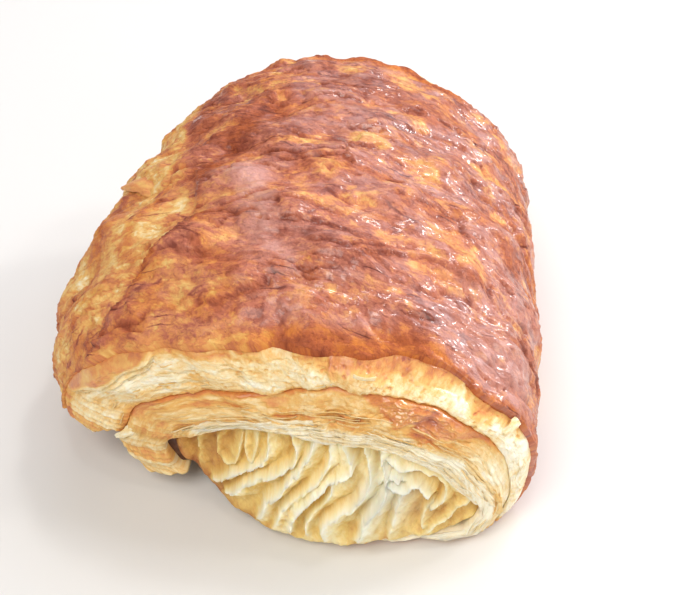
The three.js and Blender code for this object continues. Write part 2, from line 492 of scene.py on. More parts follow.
@dataclass(frozen=True)
class BakedTone:
    """The colours that dough goes through as it bakes, the amber of melted sugar, and a painted sheen that stands for
    the reflection of the lamps on the dried egg wash.
    """

    name: str = "baked_tone"
    amber: tuple[int, int, int] = (243, 214, 150)
    sheen: tuple[int, int, int] = (214, 160, 148)
    stops: tuple[tuple[float, tuple[int, int, int]], ...] = (
        (0.0, (255, 247, 222)),
        (0.14, (248, 224, 172)),
        (0.30, (236, 188, 110)),
        (0.46, (222, 148, 90)),
        (0.62, (190, 112, 86)),
        (0.80, (140, 70, 54)),
        (1.0, (108, 52, 38)),
    )

    def group(self) -> bpy.types.NodeTree:
        """Builds the node group once.

        Returns:
            A group with three inputs, for the bake, the amber and the painted sheen, and the output Color.
        """
        if self.name in bpy.data.node_groups:
            return bpy.data.node_groups[self.name]
        tree = bpy.data.node_groups.new(self.name, "ShaderNodeTree")
        for label in ("Bake", "Amber", "Sheen"):
            tree.interface.new_socket(label, in_out="INPUT", socket_type="NodeSocketFloat")
        tree.interface.new_socket("Color", in_out="OUTPUT", socket_type="NodeSocketColor")
        bench = NodeBench(tree)
        entry, leave = bench.add("NodeGroupInput"), bench.add("NodeGroupOutput")
        ramp = bench.add("ShaderNodeValToRGB")
        bench.feed(entry.outputs["Bake"], ramp.inputs["Fac"])
        while len(ramp.color_ramp.elements) < len(self.stops):
            ramp.color_ramp.elements.new(0.5)
        for element, (place_on_ramp, colour) in zip(ramp.color_ramp.elements, self.stops):
            element.position = place_on_ramp
            element.color = linear(*colour)
        stain = bench.add("ShaderNodeMixRGB", blend_type="MULTIPLY")
        stain.inputs["Color2"].default_value = linear(*self.amber)
        bench.feed(entry.outputs["Amber"], stain.inputs["Fac"])
        bench.feed(ramp.outputs["Color"], stain.inputs["Color1"])
        # The sheen colour mixed over the tone is painted reflection, not a colour of the dough.
        film = bench.add("ShaderNodeMixRGB", blend_type="MIX")
        film.inputs["Color2"].default_value = linear(*self.sheen)
        bench.feed(entry.outputs["Sheen"], film.inputs["Fac"])
        bench.feed(stain.outputs["Color"], film.inputs["Color1"])
        bench.feed(film.outputs["Color"], leave.inputs["Color"])
        return tree


# The crumb's grey-white sheen is the tone of raw dough and, where it is strongest on the leaf edges, a painted
# highlight.
CRUMB_TONE = BakedTone(
    "crumb_tone",
    sheen=(226, 226, 212),
    stops=(
        (0.0, (255, 250, 226)),
        (0.14, (250, 234, 184)),
        (0.30, (236, 204, 126)),
        (0.46, (212, 164, 88)),
        (0.62, (180, 116, 66)),
        (1.0, (90, 46, 32)),
    ),
)


@dataclass(frozen=True)
class DoughSkin:
    """The fine skin of baked dough, read off a piece's chart: cracks, streaks, spots, thin flakes and torn skin."""

    crack_width: float = 0.02
    crack_rarity: float = 0.05
    broken_size: Pair = (9.0, 5.0)
    grain_size: Pair = (0.5, 0.4)
    broken_sharpness: float = 12.0
    flake_steps: float = 9.0
    flake_step_height: float = 3.0
    flake_rim: float = 0.16
    flake_fall: float = 0.5
    torn_sharpness: float = 16.0
    grain_height: float = 0.1
    streak_height: float = 1.8
    roughness: float = 0.65
    # How much finer noise the cracks, their gaps, the streaks, spots, flakes, torn skin and grain carry
    details: tuple[float, ...] = (0.6, 1.0, 4.0, 3.0, 2.5, 5.0, 2.0)
    values: tuple[str, ...] = ("Crack", "Streak", "Spot", "Flake", "Torn")
    sizes: tuple[str, ...] = ("Crack Size", "Streak Size", "Spot Size", "Flake Size", "Torn Size")

    def noise(self, bench: NodeBench, chart: Socket, size: object, detail: float) -> Socket:
        """Adds a noise in the chart.

        Args:
            bench: The group's nodes.
            chart: The chart's socket.
            size: Size of the noise along and across the layers, in millimetres, or a socket that gives it.
            detail: How much finer noise it carries.

        Returns:
            A value round 0.
        """
        scaled = bench.add("ShaderNodeVectorMath", operation="DIVIDE")
        bench.feed(chart, scaled.inputs[0])
        if isinstance(size, Socket):
            bench.feed(size, scaled.inputs[1])
        else:
            scaled.inputs[1].default_value = (*size, 1.0)
        texture = bench.add("ShaderNodeTexNoise")
        texture.inputs["Scale"].default_value = 1.0
        texture.inputs["Detail"].default_value = detail
        texture.inputs["Roughness"].default_value = self.roughness
        bench.feed(scaled.outputs[0], texture.inputs["Vector"])
        return bench.maths("SUBTRACT", texture.outputs["Fac"], 0.5)

    def group(self) -> bpy.types.NodeTree:
        """Builds the node group once.

        Returns:
            A group with the chart, five strengths and five sizes in, and Shift, for the bake, and Height out.
        """
        name = "dough_skin"
        if name in bpy.data.node_groups:
            return bpy.data.node_groups[name]
        tree = bpy.data.node_groups.new(name, "ShaderNodeTree")
        for label in ("Chart", *self.sizes):
            tree.interface.new_socket(label, in_out="INPUT", socket_type="NodeSocketVector")
        for label in self.values:
            tree.interface.new_socket(label, in_out="INPUT", socket_type="NodeSocketFloat")
        for label in ("Shift", "Height"):
            tree.interface.new_socket(label, in_out="OUTPUT", socket_type="NodeSocketFloat")
        bench = NodeBench(tree)
        entry, leave = bench.add("NodeGroupInput"), bench.add("NodeGroupOutput")
        maths, strength = bench.maths, {label: entry.outputs[label] for label in self.values}
        crack, streak, spot, flake, torn = (entry.outputs[label] for label in self.sizes)
        fields = (crack, self.broken_size, streak, spot, flake, torn, self.grain_size)
        noises = (self.noise(bench, entry.outputs["Chart"], size, detail) for size, detail in zip(fields, self.details))
        crack, gap, streak, spot, flake, torn, grain = noises
        line = maths("DIVIDE", maths("ABSOLUTE", crack), self.crack_width)
        line = maths("MAXIMUM", maths("SUBTRACT", 1.0, line), 0.0)
        broken = maths("MULTIPLY", maths("SUBTRACT", gap, self.crack_rarity), self.broken_sharpness)
        line = maths("MULTIPLY", line, maths("MINIMUM", maths("MAXIMUM", broken, 0.0), 1.0))
        line = maths("MULTIPLY", line, strength["Crack"])
        streak = maths("MULTIPLY", streak, strength["Streak"])
        spot = maths("MULTIPLY", spot, strength["Spot"])
        part = maths("FRACT", maths("MULTIPLY", flake, self.flake_steps))
        rim = maths("MAXIMUM", maths("SUBTRACT", 1.0, maths("DIVIDE", part, self.flake_rim)), 0.0)
        edge = maths("SUBTRACT", rim, maths("MULTIPLY", part, self.flake_fall))
        edge = maths("MULTIPLY", edge, strength["Flake"])
        flake = maths("MULTIPLY", maths("MULTIPLY", part, self.flake_step_height), strength["Flake"])
        bare = maths("MULTIPLY", torn, self.torn_sharpness)
        bare = maths("MULTIPLY", maths("MINIMUM", maths("MAXIMUM", bare, -0.5), 0.5), strength["Torn"])
        shift = maths("ADD", maths("ADD", line, streak), maths("ADD", spot, edge))
        bench.feed(maths("SUBTRACT", shift, bare), leave.inputs["Shift"])
        grain = maths("MULTIPLY", grain, self.grain_height)
        proud = maths("SUBTRACT", maths("MULTIPLY", maths("ADD", streak, spot), self.streak_height), line)
        proud = maths("ADD", maths("SUBTRACT", proud, bare), grain)
        bench.feed(maths("ADD", proud, flake), leave.inputs["Height"])
        return tree


@dataclass(frozen=True)
class BakedFinish:
    """A finish of baked dough that reads the marks bake, gloss and amber, the mark of painted sheen, and the chart of
    its piece.
    """

    name: str
    strengths: tuple[float, ...]
    sizes: Places
    bump_depth: float
    dull: float = 0.6
    shiny: float = 0.4
    specular: float = 0.3
    glaze_roughness: float = 0.15
    glaze_index: float = 1.75
    glow: float = 0.0
    glow_depth: float = 1.4
    glow_reach: Triple = (1.0, 0.6, 0.3)
    tone: BakedTone = BakedTone()
    skin: DoughSkin = DoughSkin()

    def at_end(self, end: RollEnd) -> "BakedFinish":
        """The same finish under the name of one end."""
        return replace(self, name=f"{end.name.lower()}_{self.name}")

    def material(self) -> bpy.types.Material:
        """Builds the material.

        Returns:
            The material, with one Principled shader.
        """
        material = bpy.data.materials.new(self.name)
        material.use_nodes = True
        bench = NodeBench(material.node_tree)
        shader = material.node_tree.nodes["Principled BSDF"]
        skin = bench.add("ShaderNodeGroup", node_tree=self.skin.group())
        chart = bench.add("ShaderNodeAttribute", attribute_name="chart")
        bench.feed(chart.outputs["Vector"], skin.inputs["Chart"])
        for label, value in zip(self.skin.values, self.strengths):
            skin.inputs[label].default_value = value
        for label, size in zip(self.skin.sizes, self.sizes):
            skin.inputs[label].default_value = (*size, 1.0)
        tone = bench.add("ShaderNodeGroup", node_tree=self.tone.group())
        bench.feed(bench.maths("ADD", bench.mark("bake"), skin.outputs["Shift"]), tone.inputs["Bake"])
        for label in ("Amber", "Sheen"):
            bench.feed(bench.mark(label.lower()), tone.inputs[label])
        bench.feed(tone.outputs["Color"], shader.inputs["Base Color"])
        gloss = bench.mark("gloss")
        fall = bench.maths("MULTIPLY", gloss, self.shiny - self.dull)
        bench.feed(bench.maths("ADD", fall, self.dull), shader.inputs["Roughness"])
        bench.feed(gloss, shader.inputs["Coat Weight"])
        shader.inputs["Coat Roughness"].default_value = self.glaze_roughness
        shader.inputs["Coat IOR"].default_value = self.glaze_index
        shader.inputs["Subsurface Weight"].default_value = self.glow
        shader.inputs["Subsurface Radius"].default_value = self.glow_reach
        shader.inputs["Subsurface Scale"].default_value = self.glow_depth * MM
        shader.inputs["Specular IOR Level"].default_value = self.specular
        bump = bench.add("ShaderNodeBump")
        bump.inputs["Strength"].default_value = 1.0
        bump.inputs["Distance"].default_value = self.bump_depth * MM
        bench.feed(skin.outputs["Height"], bump.inputs["Height"])
        bench.feed(bump.outputs["Normal"], shader.inputs["Normal"])
        return material


# Strengths and sizes are those of the cracks, streaks, spots, thin flakes and torn skin
GLAZED_CRUST = BakedFinish(
    "glazed_crust",
    strengths=(0.24, 0.1, 0.3, 0.05, 0.1),
    sizes=((15.0, 3.2), (2.8, 1.5), (0.8, 0.55), (8.0, 3.6), (3.0, 1.7)),
    bump_depth=0.65,
    dull=0.62,
)
BAND = BakedFinish(
    "band",
    strengths=(0.05, 0.1, 0.24, 0.03, 0.06),
    sizes=((5.0, 2.5), (3.0, 1.8), (0.9, 0.7), (4.0, 2.6), (2.4, 1.8)),
    bump_depth=0.55,
    glow=0.12,
)
LAYERS = BakedFinish(
    "layers",
    strengths=(0.05, 0.12, 0.2, 0.04, 0.05),
    sizes=((7.0, 1.2), (5.0, 0.9), (1.0, 0.7), (5.0, 1.8), (3.0, 1.2)),
    bump_depth=0.55,
    glow=0.12,
)
CRUMB = BakedFinish(
    "crumb",
    strengths=(0.0, 0.08, 0.12, 0.03, 0.03),
    sizes=((7.0, 1.2), (4.0, 1.2), (1.1, 0.9), (4.0, 2.0), (3.0, 1.5)),
    bump_depth=0.4,
    dull=0.62,
    glow=0.2,
    tone=CRUMB_TONE,
)
INNER_CRUMB = replace(CRUMB, name="inner_crumb", glow=0.0, tone=BakedTone())
FLAKE = replace(LAYERS, name="loose_flake", strengths=(0.05, 0.12, 0.16, 0.04, 0.05), bump_depth=0.4, glow=0.1)


@dataclass(frozen=True)
class ChocolateFinish:
    """Dark chocolate that softened in the oven and set again."""

    dark: tuple[int, int, int] = (74, 42, 30)
    bloom: tuple[int, int, int] = (122, 84, 66)
    bloom_scale: float = 420.0
    bloom_detail: float = 3.0
    bloom_range: Pair = (0.4, 0.75)
    roughness: float = 0.48

    def material(self) -> bpy.types.Material:
        """Builds the material.

        Returns:
            The material, with one Principled shader.
        """
        material = bpy.data.materials.new("set_chocolate")
        material.use_nodes = True
        bench = NodeBench(material.node_tree)
        shader = material.node_tree.nodes["Principled BSDF"]
        around = bench.add("ShaderNodeTexCoord")
        spots = bench.add("ShaderNodeTexNoise")
        spots.inputs["Scale"].default_value = self.bloom_scale
        spots.inputs["Detail"].default_value = self.bloom_detail
        bench.feed(around.outputs["Object"], spots.inputs["Vector"])
        ramp = bench.add("ShaderNodeValToRGB")
        for element, place, colour in zip(ramp.color_ramp.elements, self.bloom_range, (self.dark, self.bloom)):
            element.position, element.color = place, linear(*colour)
        bench.feed(spots.outputs["Fac"], ramp.inputs["Fac"])
        bench.feed(ramp.outputs["Color"], shader.inputs["Base Color"])
        shader.inputs["Roughness"].default_value = self.roughness
        return material


@dataclass(frozen=True)
class TableFinish:
    """The plain pale floor."""

    colour: tuple[int, int, int] = (226, 224, 220)
    roughness: float = 0.8

    def material(self) -> bpy.types.Material:
        """Builds the material.

        Returns:
            The material, with one Principled shader.
        """
        material = bpy.data.materials.new("pale_floor")
        material.use_nodes = True
        shader = material.node_tree.nodes["Principled BSDF"]
        shader.inputs["Base Color"].default_value = linear(*self.colour)
        shader.inputs["Roughness"].default_value = self.roughness
        return material


def hand_over(piece: Piece, material: bpy.types.Material, node: str) -> None:
    """Gives a piece its finish and its place in the part.

    Args:
        piece: The finished piece.
        material: Its finish.
        node: The solid that it stands for.
    """
    piece.data.materials.clear()
    piece.data.materials.append(material)
    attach(piece, "root")
    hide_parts(node)
    LOG.info("%s: %d faces, stands for %s", piece.name, len(piece.data.polygons), node)


class DoughPiece:
    """A piece that is part of the pastry."""

    def dress(self, piece: Piece, finish: BakedFinish) -> None:
        """Gives the piece its finish of baked dough."""
        hand_over(piece, finish.material(), "pastry")


@dataclass
class CrustDome(DoughPiece):
    """The glazed crust that wraps the roll from lip to lip, as a thin closed shell."""

    form: RollForm
    noise: DoughNoise
    columns: int = 380
    outer_rows: int = 244
    inner_rows: int = 8
    thickness: float = 2.4
    lip_overhang: float = 0.1
    jag_depth: float = 0.3
    crack_depth: float = 0.7
    overlap: float = 0.6
    flake_height: float = 0.4
    scale_height: float = 0.34
    blister_height: float = 0.6
    swell_height: float = 0.75
    torn_depth: float = 0.2
    tail_cut: float = 11.0
    # The line between the red-brown top and the paler left wall, as Y and way round from the crown
    divide: Places = (
        (-41.0, -48.0), (-34.0, -40.0), (-30.0, -35.0), (-25.0, -32.2), (-22.5, -28.5), (-20.0, -23.5),
        (-16.0, -22.0), (-8.0, -22.5), (0.0, -25.0), (10.0, -28.0), (20.0, -32.0), (45.0, -36.0),
    )
    # The middle of the painted sheen on the top, a painted reflection, as Y and way round from the crown
    sheen_line: Places = (
        (-30.0, -1.0), (-26.5, -3.5), (-22.0, -6.8), (-14.6, -8.4), (-8.0, -11.6), (-2.0, -14.0),
    )
    # The smooth bump on the left wall, as way round from the crown and Y, and its size
    bump_place: Pair = (-42.0, -8.0)
    bump_size: Pair = (4.5, 6.0)
    bump_height: float = 1.3
    # The middle of the patch of small glints over the near lip, as way round from the crown and Y
    glint_place: Pair = (10.0, -33.0)
    glint_size: Pair = (9.0, 5.0)
    # The burnt streak beside the divide: how far it slants, its place as way round and Y, and its width
    burnt_slant: float = 0.45
    burnt_place: Pair = (-21.5, -2.0)
    burnt_width: float = 4.6
    # How brown each part of the crust is baked
    top_bake: float = 0.62
    sheen_bake: float = 0.6
    burnt_bake: float = 0.7
    darkest_bake: float = 0.8
    lip_bakes: Pair = (0.5, 0.56)
    rim_bake: float = 0.62
    underside_bake: float = 0.5
    inside_bake: float = 0.34
    inside_depth: float = 0.8
    # The long creases, each as places round from the crown and along Y
    creases: tuple[Places, ...] = (
        ((-23.0, -14.0), (-18.5, -12.0)),
        ((-17.0, -21.0), (-14.0, -17.0), (-10.0, -16.5), (-8.0, -17.0)),
        ((-16.5, -15.0), (-13.5, -14.0), (-10.0, -12.0), (-6.0, -11.0)),
        ((-19.0, -9.0), (-17.0, -4.0), (-15.0, 1.0), (-9.5, 1.5), (-4.5, 0.5), (3.5, 2.5), (8.0, 6.0)),
        ((-18.0, -34.5), (-14.0, -34.0), (-10.5, -33.0), (-7.5, -32.5), (-5.0, -31.0)),
        ((-32.0, -8.0), (-27.0, -8.5)),
        ((-6.0, -14.5), (-2.0, -15.0), (1.5, -15.5), (6.0, -15.5)),
        ((-6.0, -19.0), (-1.5, -18.5), (2.0, -19.0), (6.5, -20.0), (10.0, -21.5)),
        ((0.5, -23.0), (4.5, -23.5), (8.0, -24.0), (14.0, -20.5), (19.5, -18.5)),
        ((8.5, -25.5), (14.0, -22.5), (20.5, -20.0), (25.0, -20.5)),
        ((7.5, 12.0), (13.5, 14.5), (20.0, 17.5)),
        ((-5.0, 21.0), (0.0, 22.5), (5.0, 21.5)),
        ((2.0, -10.5), (7.5, -13.0)),
        ((18.0, -33.0), (24.5, -31.0)),
    )
    crease_width: float = 0.4
    crease_depth: float = 0.35
    crease_lift: float = 0.4

    def row_table(self) -> tuple[Values, Values]:
        """Place along the roll and depth under the surface of each row, once round the shell's wall."""
        outer = np.linspace(-1.0, 1.0, self.outer_rows)
        inner = np.linspace(0.97, -0.97, self.inner_rows)
        lip_along, lip_depth = np.array([1.003, 1.003, 0.995]), np.array([0.25, 0.6, 1.1])
        along = np.concatenate([outer, lip_along, inner, -lip_along[::-1], outer[:1]])
        depth = np.concatenate(
            [outer * 0.0, lip_depth, np.full(self.inner_rows, self.thickness), lip_depth[::-1], [0.0]]
        )
        return along, depth

    def drawn_back(self, angle: Values, along: Values) -> Values:
        """Places along the roll, drawn back near each lip to where the brown crust stops.

        Args:
            angle: Angles round the roll.
            along: Places along it, from -1 to 1.

        Returns:
            The shifted places.
        """
        form = self.form
        length = form.lip_y[RollEnd.FAR] - form.lip_y[RollEnd.NEAR]
        for end in RollEnd:
            x, z, _ = form.section(angle, np.full_like(along, float(end.value)))
            pull = form.pull(EndFrame(form, end).polar(x, z)[0]) * 2.0 / length
            along = along - end.value * pull * smooth_step(along * end.value, 0.5, 1.0)
        return along

    def torn(self, arc: Values, y: Values, sway: Values) -> Values:
        """Where the top skin of the crust has flaked off and the honey-coloured layer under it shows, from 0 to 1."""
        bare = self.noise.patches(arc / 7.5, sway / 4.6, 10.5, 0.1, 0.6)
        return bare * (0.3 + 0.7 * np.maximum(smooth_step(y, -34.0, -8.0), smooth_step(-arc, 8.0, 16.0)))

    def bump(self, arc: Values, y: Values) -> Values:
        """The smooth brown bump on the left wall, from 0 to 1."""
        return round_spot(arc, y, self.bump_place, self.bump_size)

    def glinting(self, arc: Values, y: Values) -> Values:
        """The patch of small glints over the near lip, from 0 to 1."""
        return round_spot(arc, y, self.glint_place, self.glint_size)

    def past_divide(self, arc: Values, y: Values) -> Values:
        """Millimetres past the line between the red-brown top and the paler left wall."""
        edge_y, edge_arc = np.array(self.divide).T
        return np.interp(y, edge_y, edge_arc) + 1.2 * self.noise.at(arc / 6, y / 5, layer=15.5) - arc

    def creased(self, arc: Values, y: Values) -> tuple[Values, Values]:
        """The long creases of the crust.

        Args:
            arc: Way round the roll from its crown.
            y: Place along the roll.

        Returns:
            How much of a crease there is, and how far the flake behind it is lifted, both from 0 to 1.
        """
        groove, lifted = np.zeros_like(arc), np.zeros_like(arc)
        for number, crease in enumerate(self.creases):
            line_arc, line_y = np.array(crease).T
            wander = 0.5 * self.noise.at(arc / 2.2, 0.0 * arc + 3.7 * number, layer=64.5)
            behind = y - np.interp(arc, line_arc, line_y) - wander
            there = smooth_step(arc, line_arc[0] - 1.0, line_arc[0] + 1.5)
            there = there * smooth_fall(arc, line_arc[-1] - 1.5, line_arc[-1] + 1.0)
            groove = np.maximum(groove, there * bell(behind, 0.0, self.crease_width))
            edge = smooth_step(behind, 0.0, 0.5) * np.exp(-np.maximum(behind, 0.0) / 2.4)
            lifted = np.maximum(lifted, there * edge)
        return groove, lifted

    def relief(self, arc: Values, y: Values, sway: Values) -> tuple[Values, Values]:
        """The crust's wrinkles, flakes and blisters.

        Args:
            arc: Way round the roll from its crown.
            y: Place along the roll.
            sway: The same place, shifted as the wrinkles wander.

        Returns:
            How far the crust stands out, and where it is cracked, creased, sunk between puffs or stepped down at a
            flake's foot, from 0 to 1.
        """
        noise = self.noise
        line = noise.rough(arc / 12, sway / 3.1, layer=3.5, octaves=2)
        broken = smooth_step(noise.at(arc / 9, y / 6, layer=4.5), 0.0, 0.3)
        crack = bell(line, 0.0, 0.08) * broken
        lap = np.tanh(line / 0.07) * np.exp(-np.abs(line) / 0.4) * broken
        count = 2.4 * noise.rough(arc / 24, sway / 9, layer=5.5, octaves=3) + sway / 9.0
        part = count - np.floor(count)
        flake = part * smooth_fall(part, 0.9, 1.0) * (0.5 + 0.5 * noise.level(count))
        small = 2.6 * noise.rough(arc / 11, sway / 3.6, layer=18.5, octaves=2) + sway / 6.0
        part = small - np.floor(small)
        scale = part * smooth_fall(part, 0.86, 1.0) * (0.6 + 0.4 * noise.level(small + 19.0))
        left, right = smooth_step(-arc, 30.0, 48.0), smooth_step(arc, 10.0, 34.0) * smooth_fall(arc, 48.0, 60.0)
        puff = np.abs(noise.at(arc / 8.5, sway / 3.4, layer=8.5))
        small_puff = np.abs(noise.at(arc / 3.6, sway / 1.9, layer=16.5))
        blister = np.clip(noise.at(arc / 1.5, y / 1.2, layer=6.5) - 0.1, 0.0, None) ** 1.5
        fine = noise.rough(arc / 1.4, y / 1.1, layer=7.5, octaves=2)
        lumps = noise.rough(arc / 15, y / 9, layer=17.5, octaves=2)
        cluster = smooth_step(noise.at(arc / 8, y / 7, layer=19.5), -0.05, 0.35)
        groove, lifted = self.creased(arc, y)
        height = (
            self.flake_height * flake
            + self.scale_height * scale
            - self.crack_depth * crack
            + 0.34 * lap
            + self.swell_height * (puff - 0.3) * (1.0 + 0.3 * right)
            + 0.24 * (small_puff - 0.3)
            + self.blister_height * blister * (0.1 + 1.3 * right * cluster + self.glinting(arc, y))
            + (0.12 + 0.06 * right * cluster + 0.1 * left) * fine
            + self.bump_height * self.bump(arc, y)
            + self.overlap * smooth_fall(self.past_divide(arc, y), -0.4, 0.3) * smooth_fall(y, -8.0, 6.0)
            + lumps * (0.3 + 0.75 * left + 0.2 * right)
            - self.torn_depth * self.torn(arc, y, sway)
            + self.crease_lift * lifted
            - self.crease_depth * groove
        )
        drop = bell(part, 0.95, 0.05)
        # The bake paints all of these darker: in the cracks that is the crust's own colour, in the creases, the valleys
        # between puffs and at the flake steps it is painted shade.
        hollow = np.clip(crack + 0.3 * smooth_fall(puff, 0.0, 0.12) + 0.4 * drop + groove, 0.0, 1.0)
        return height, hollow

    def bake(self, arc: Values, y: Values, sway: Values, crack: Values) -> dict[str, Values]:
        """The crust's marks: how brown, glossy and amber it is, and how much painted sheen lies on it, which stands for
        reflection.

        Args:
            arc: Way round the roll from its crown.
            y: Place along the roll.
            sway: The same place, shifted as the wrinkles wander.
            crack: Where the crust is cracked, creased or sunk, which is painted darker; outside the cracks that is
                painted shade.

        Returns:
            The marks by name.
        """
        noise = self.noise
        past, bump = self.past_divide(arc, y), self.bump(arc, y)
        front = smooth_fall(y, -8.0, 4.0)
        left_wall = smooth_step(past, mix(0.0, -0.4, front), mix(4.0, 2.4, front)) * (1.0 - 0.8 * bump)
        dark_line = bell(past, -1.0, 1.4) * front
        near_left = smooth_step(-arc, 6.0, 15.0) * front * (1.0 - left_wall)
        burnt_middle = self.burnt_slant * (y - self.burnt_place[1]) + self.burnt_place[0]
        burnt = bell(arc, burnt_middle, self.burnt_width) * smooth_step(y, -8.0, -3.0) * smooth_fall(y, 16.0, 22.0)
        burnt = burnt * noise.patches(arc / 4, y / 4, 58.5, -0.3, 0.1)
        # The lilac and pink sheens, and the sheen on the lower right corner, are painted reflection; under the lilac
        # one the brown is also evened out.
        painted_lilac_sheen = bell(arc - np.interp(y, *np.array(self.sheen_line).T), 0.0, 4.6)
        painted_lilac_sheen = painted_lilac_sheen * smooth_step(y, -33.0, -25.0) * smooth_fall(y, -6.0, 4.0)
        painted_lilac_sheen = painted_lilac_sheen * noise.patches(arc / 6, y / 4, 65.5, -0.45, -0.05)
        honey = self.torn(arc, y, sway) * (1.0 - painted_lilac_sheen) * (1.0 - 0.6 * left_wall - 0.5 * near_left)
        dark = noise.patches(arc / 20, sway / 9, 11.5, 0.0, 0.5, octaves=3)
        mottled = noise.rough(arc / 8.0, sway / 5.5, layer=12.5)
        wet = noise.patches(arc / 10, sway / 6, 59.5, -0.2, 0.15)
        chip = noise.patches(arc / 2.6, sway / 1.4, 57.5, 0.48, 0.58)
        low = bell(y, -26.0, 8.0) * smooth_step(arc, -32.0, -22.0)
        bake = self.top_bake + 0.08 * mottled - 0.2 * honey + 0.07 * dark - 0.22 * left_wall
        bake = bake + 0.1 * dark_line + 0.04 * low + 0.18 * crack - 0.12 * chip
        bake = bake - 0.07 * smooth_step(arc, 44.0, 60.0) - 0.1 * near_left
        stain = noise.rough(arc / 4.5, y / 5.0, layer=62.5)
        bake = bake + left_wall * (0.01 + 0.16 * stain)
        bake = mix(bake, self.sheen_bake + 0.04 * mottled, 0.6 * painted_lilac_sheen)
        bake = mix(bake, self.burnt_bake + 0.14 * mottled, 0.85 * burnt)
        bake = np.minimum(bake, self.darkest_bake)
        patchy = noise.rough(arc / 12, y / 7, layer=14.5, octaves=3)
        gloss = 0.34 + 0.36 * smooth_step(arc, -14.0, 22.0) + 0.2 * smooth_step(y, 2.0, 30.0)
        gloss = gloss + 0.3 * patchy + 0.15 * painted_lilac_sheen
        gloss = gloss * (0.3 + 0.7 * np.maximum(wet, painted_lilac_sheen)) * (1.0 - 0.7 * left_wall) * (1.0 - 0.4 * honey)
        gloss = gloss * (1.0 - 0.5 * smooth_step(-y, 8.0, 22.0) * smooth_fall(arc, 12.0, 26.0))
        glint = noise.patches(arc / 2.4, y / 1.6, 67.5, 0.05, 0.25, octaves=3)
        glint = glint * self.glinting(arc, y)
        # Over the glints the crust is also painted lighter: painted highlight. The added gloss is real.
        bake, gloss = bake - 0.08 * glint, gloss + 0.7 * glint
        amber = 0.5 * (1.0 - wet) * (1.0 - left_wall) * (1.0 - honey) * (1.0 - painted_lilac_sheen)
        amber = amber + 0.45 * left_wall * smooth_step(stain, 0.0, 0.5) + 0.5 * dark_line + 0.3 * crack
        amber = amber + 0.3 * smooth_step(arc, 44.0, 56.0) + 0.3 * bump
        painted_pink_sheen = noise.patches(arc / 9, sway / 4.5, 66.5, 0.0, 0.4) * smooth_step(arc, -20.0, 0.0)
        corner = smooth_step(arc, 22.0, 32.0) * smooth_fall(arc, 44.0, 52.0) * smooth_fall(y, -32.0, -22.0)
        sheen = np.maximum(0.6 * painted_lilac_sheen + 0.3 * painted_pink_sheen * (1.0 - painted_lilac_sheen), 0.5 * corner)
        sheen = sheen * (1.0 - honey) * (1.0 - crack) * (1.0 - burnt)
        gloss = (gloss + 0.15 * corner) * (1.0 - 0.6 * burnt - 0.3 * crack)
        return {"bake": bake, "gloss": gloss, "amber": mix(amber, 0.95, burnt), "sheen": sheen}

    def shape(self, column: Values, row: Values) -> Surface:
        """The shell's points and marks.

        Args:
            column: Share of the columns at each vertex.
            row: Number of the row at each vertex.

        Returns:
            The surface.
        """
        noise, form = self.noise, self.form
        table_along, table_depth = self.row_table()
        along, depth = table_along[row], table_depth[row]
        angle = form.column_angle(column)
        arc = form.arc_length(angle)
        side = np.sign(along)
        at_lip = smooth_step(np.abs(along), 0.965, 1.0)
        caramel = smooth_step(arc, -16.0, 2.0)
        inwards = 1.0 - np.abs(along)
        lip_band = smooth_fall(inwards, mix(0.0, 0.03, caramel), mix(0.06, 0.12, caramel))
        lip_band = lip_band * (1.0 - 0.75 * smooth_step(arc, 22.0, 30.0))
        along = self.drawn_back(angle, along)
        plain = form.crust(angle, along)
        y = plain[:, 1]
        above = smooth_step(plain[:, 2], 1.5, 9.0)
        sway = y + 2.2 * noise.at(arc / 21, y / 15, layer=1.5) + 0.8 * noise.at(arc / 7, y / 5, layer=2.5)
        height, crack = self.relief(arc, y, sway)
        marks = self.bake(arc, y, sway, crack)
        points = form.crust(angle, along, above * height * (depth == 0.0) - depth)
        jag = noise.at(arc / 3.1, side * 3.5, layer=8.5) + 0.5 * noise.at(arc / 1.1, side * 3.5, layer=9.5)
        points[:, 1] += side * at_lip * above * (self.jag_depth * jag + self.lip_overhang)
        under_left = smooth_step(-np.sin(angle), 0.03, 0.2) * smooth_step(-plain[:, 0], 6.0, 16.0)
        points[:, 1] += self.tail_cut * under_left * smooth_fall(along, -1.0, -0.6)
        uneven = noise.rough(arc / 3, y / 2, layer=20.5)
        lip_bake = mix(*self.lip_bakes, caramel) + 0.1 * crack + 0.18 * uneven
        rim = smooth_fall(inwards + 0.01 * uneven, 0.02, 0.05)
        rim = rim * smooth_step(arc, -4.0, 8.0) * smooth_fall(arc, 46.0, 52.0)
        bake = mix(marks["bake"], lip_bake, 0.85 * lip_band)
        bake = mix(bake, self.rim_bake + 0.1 * uneven, 0.85 * rim)
        bake = mix(np.full_like(bake, self.underside_bake), bake, smooth_step(plain[:, 2], 0.0, 3.0))
        marks["bake"] = np.where(depth > self.inside_depth, self.inside_bake, bake)
        marks["amber"] = mix(marks["amber"], 0.25 + 0.75 * caramel, np.maximum(lip_band, rim))
        marks["gloss"] = marks["gloss"] * above * (1.0 - 0.9 * lip_band)
        marks["sheen"] = marks["sheen"] * above * (1.0 - np.maximum(lip_band, rim))
        return Surface(points, marks, (arc, sway))

    def build(self) -> Piece:
        """Makes the shell from a grid that closes on itself both ways."""
        return shaped_grid("crust_dome", self.columns, len(self.row_table()[0]) - 1, self.shape)


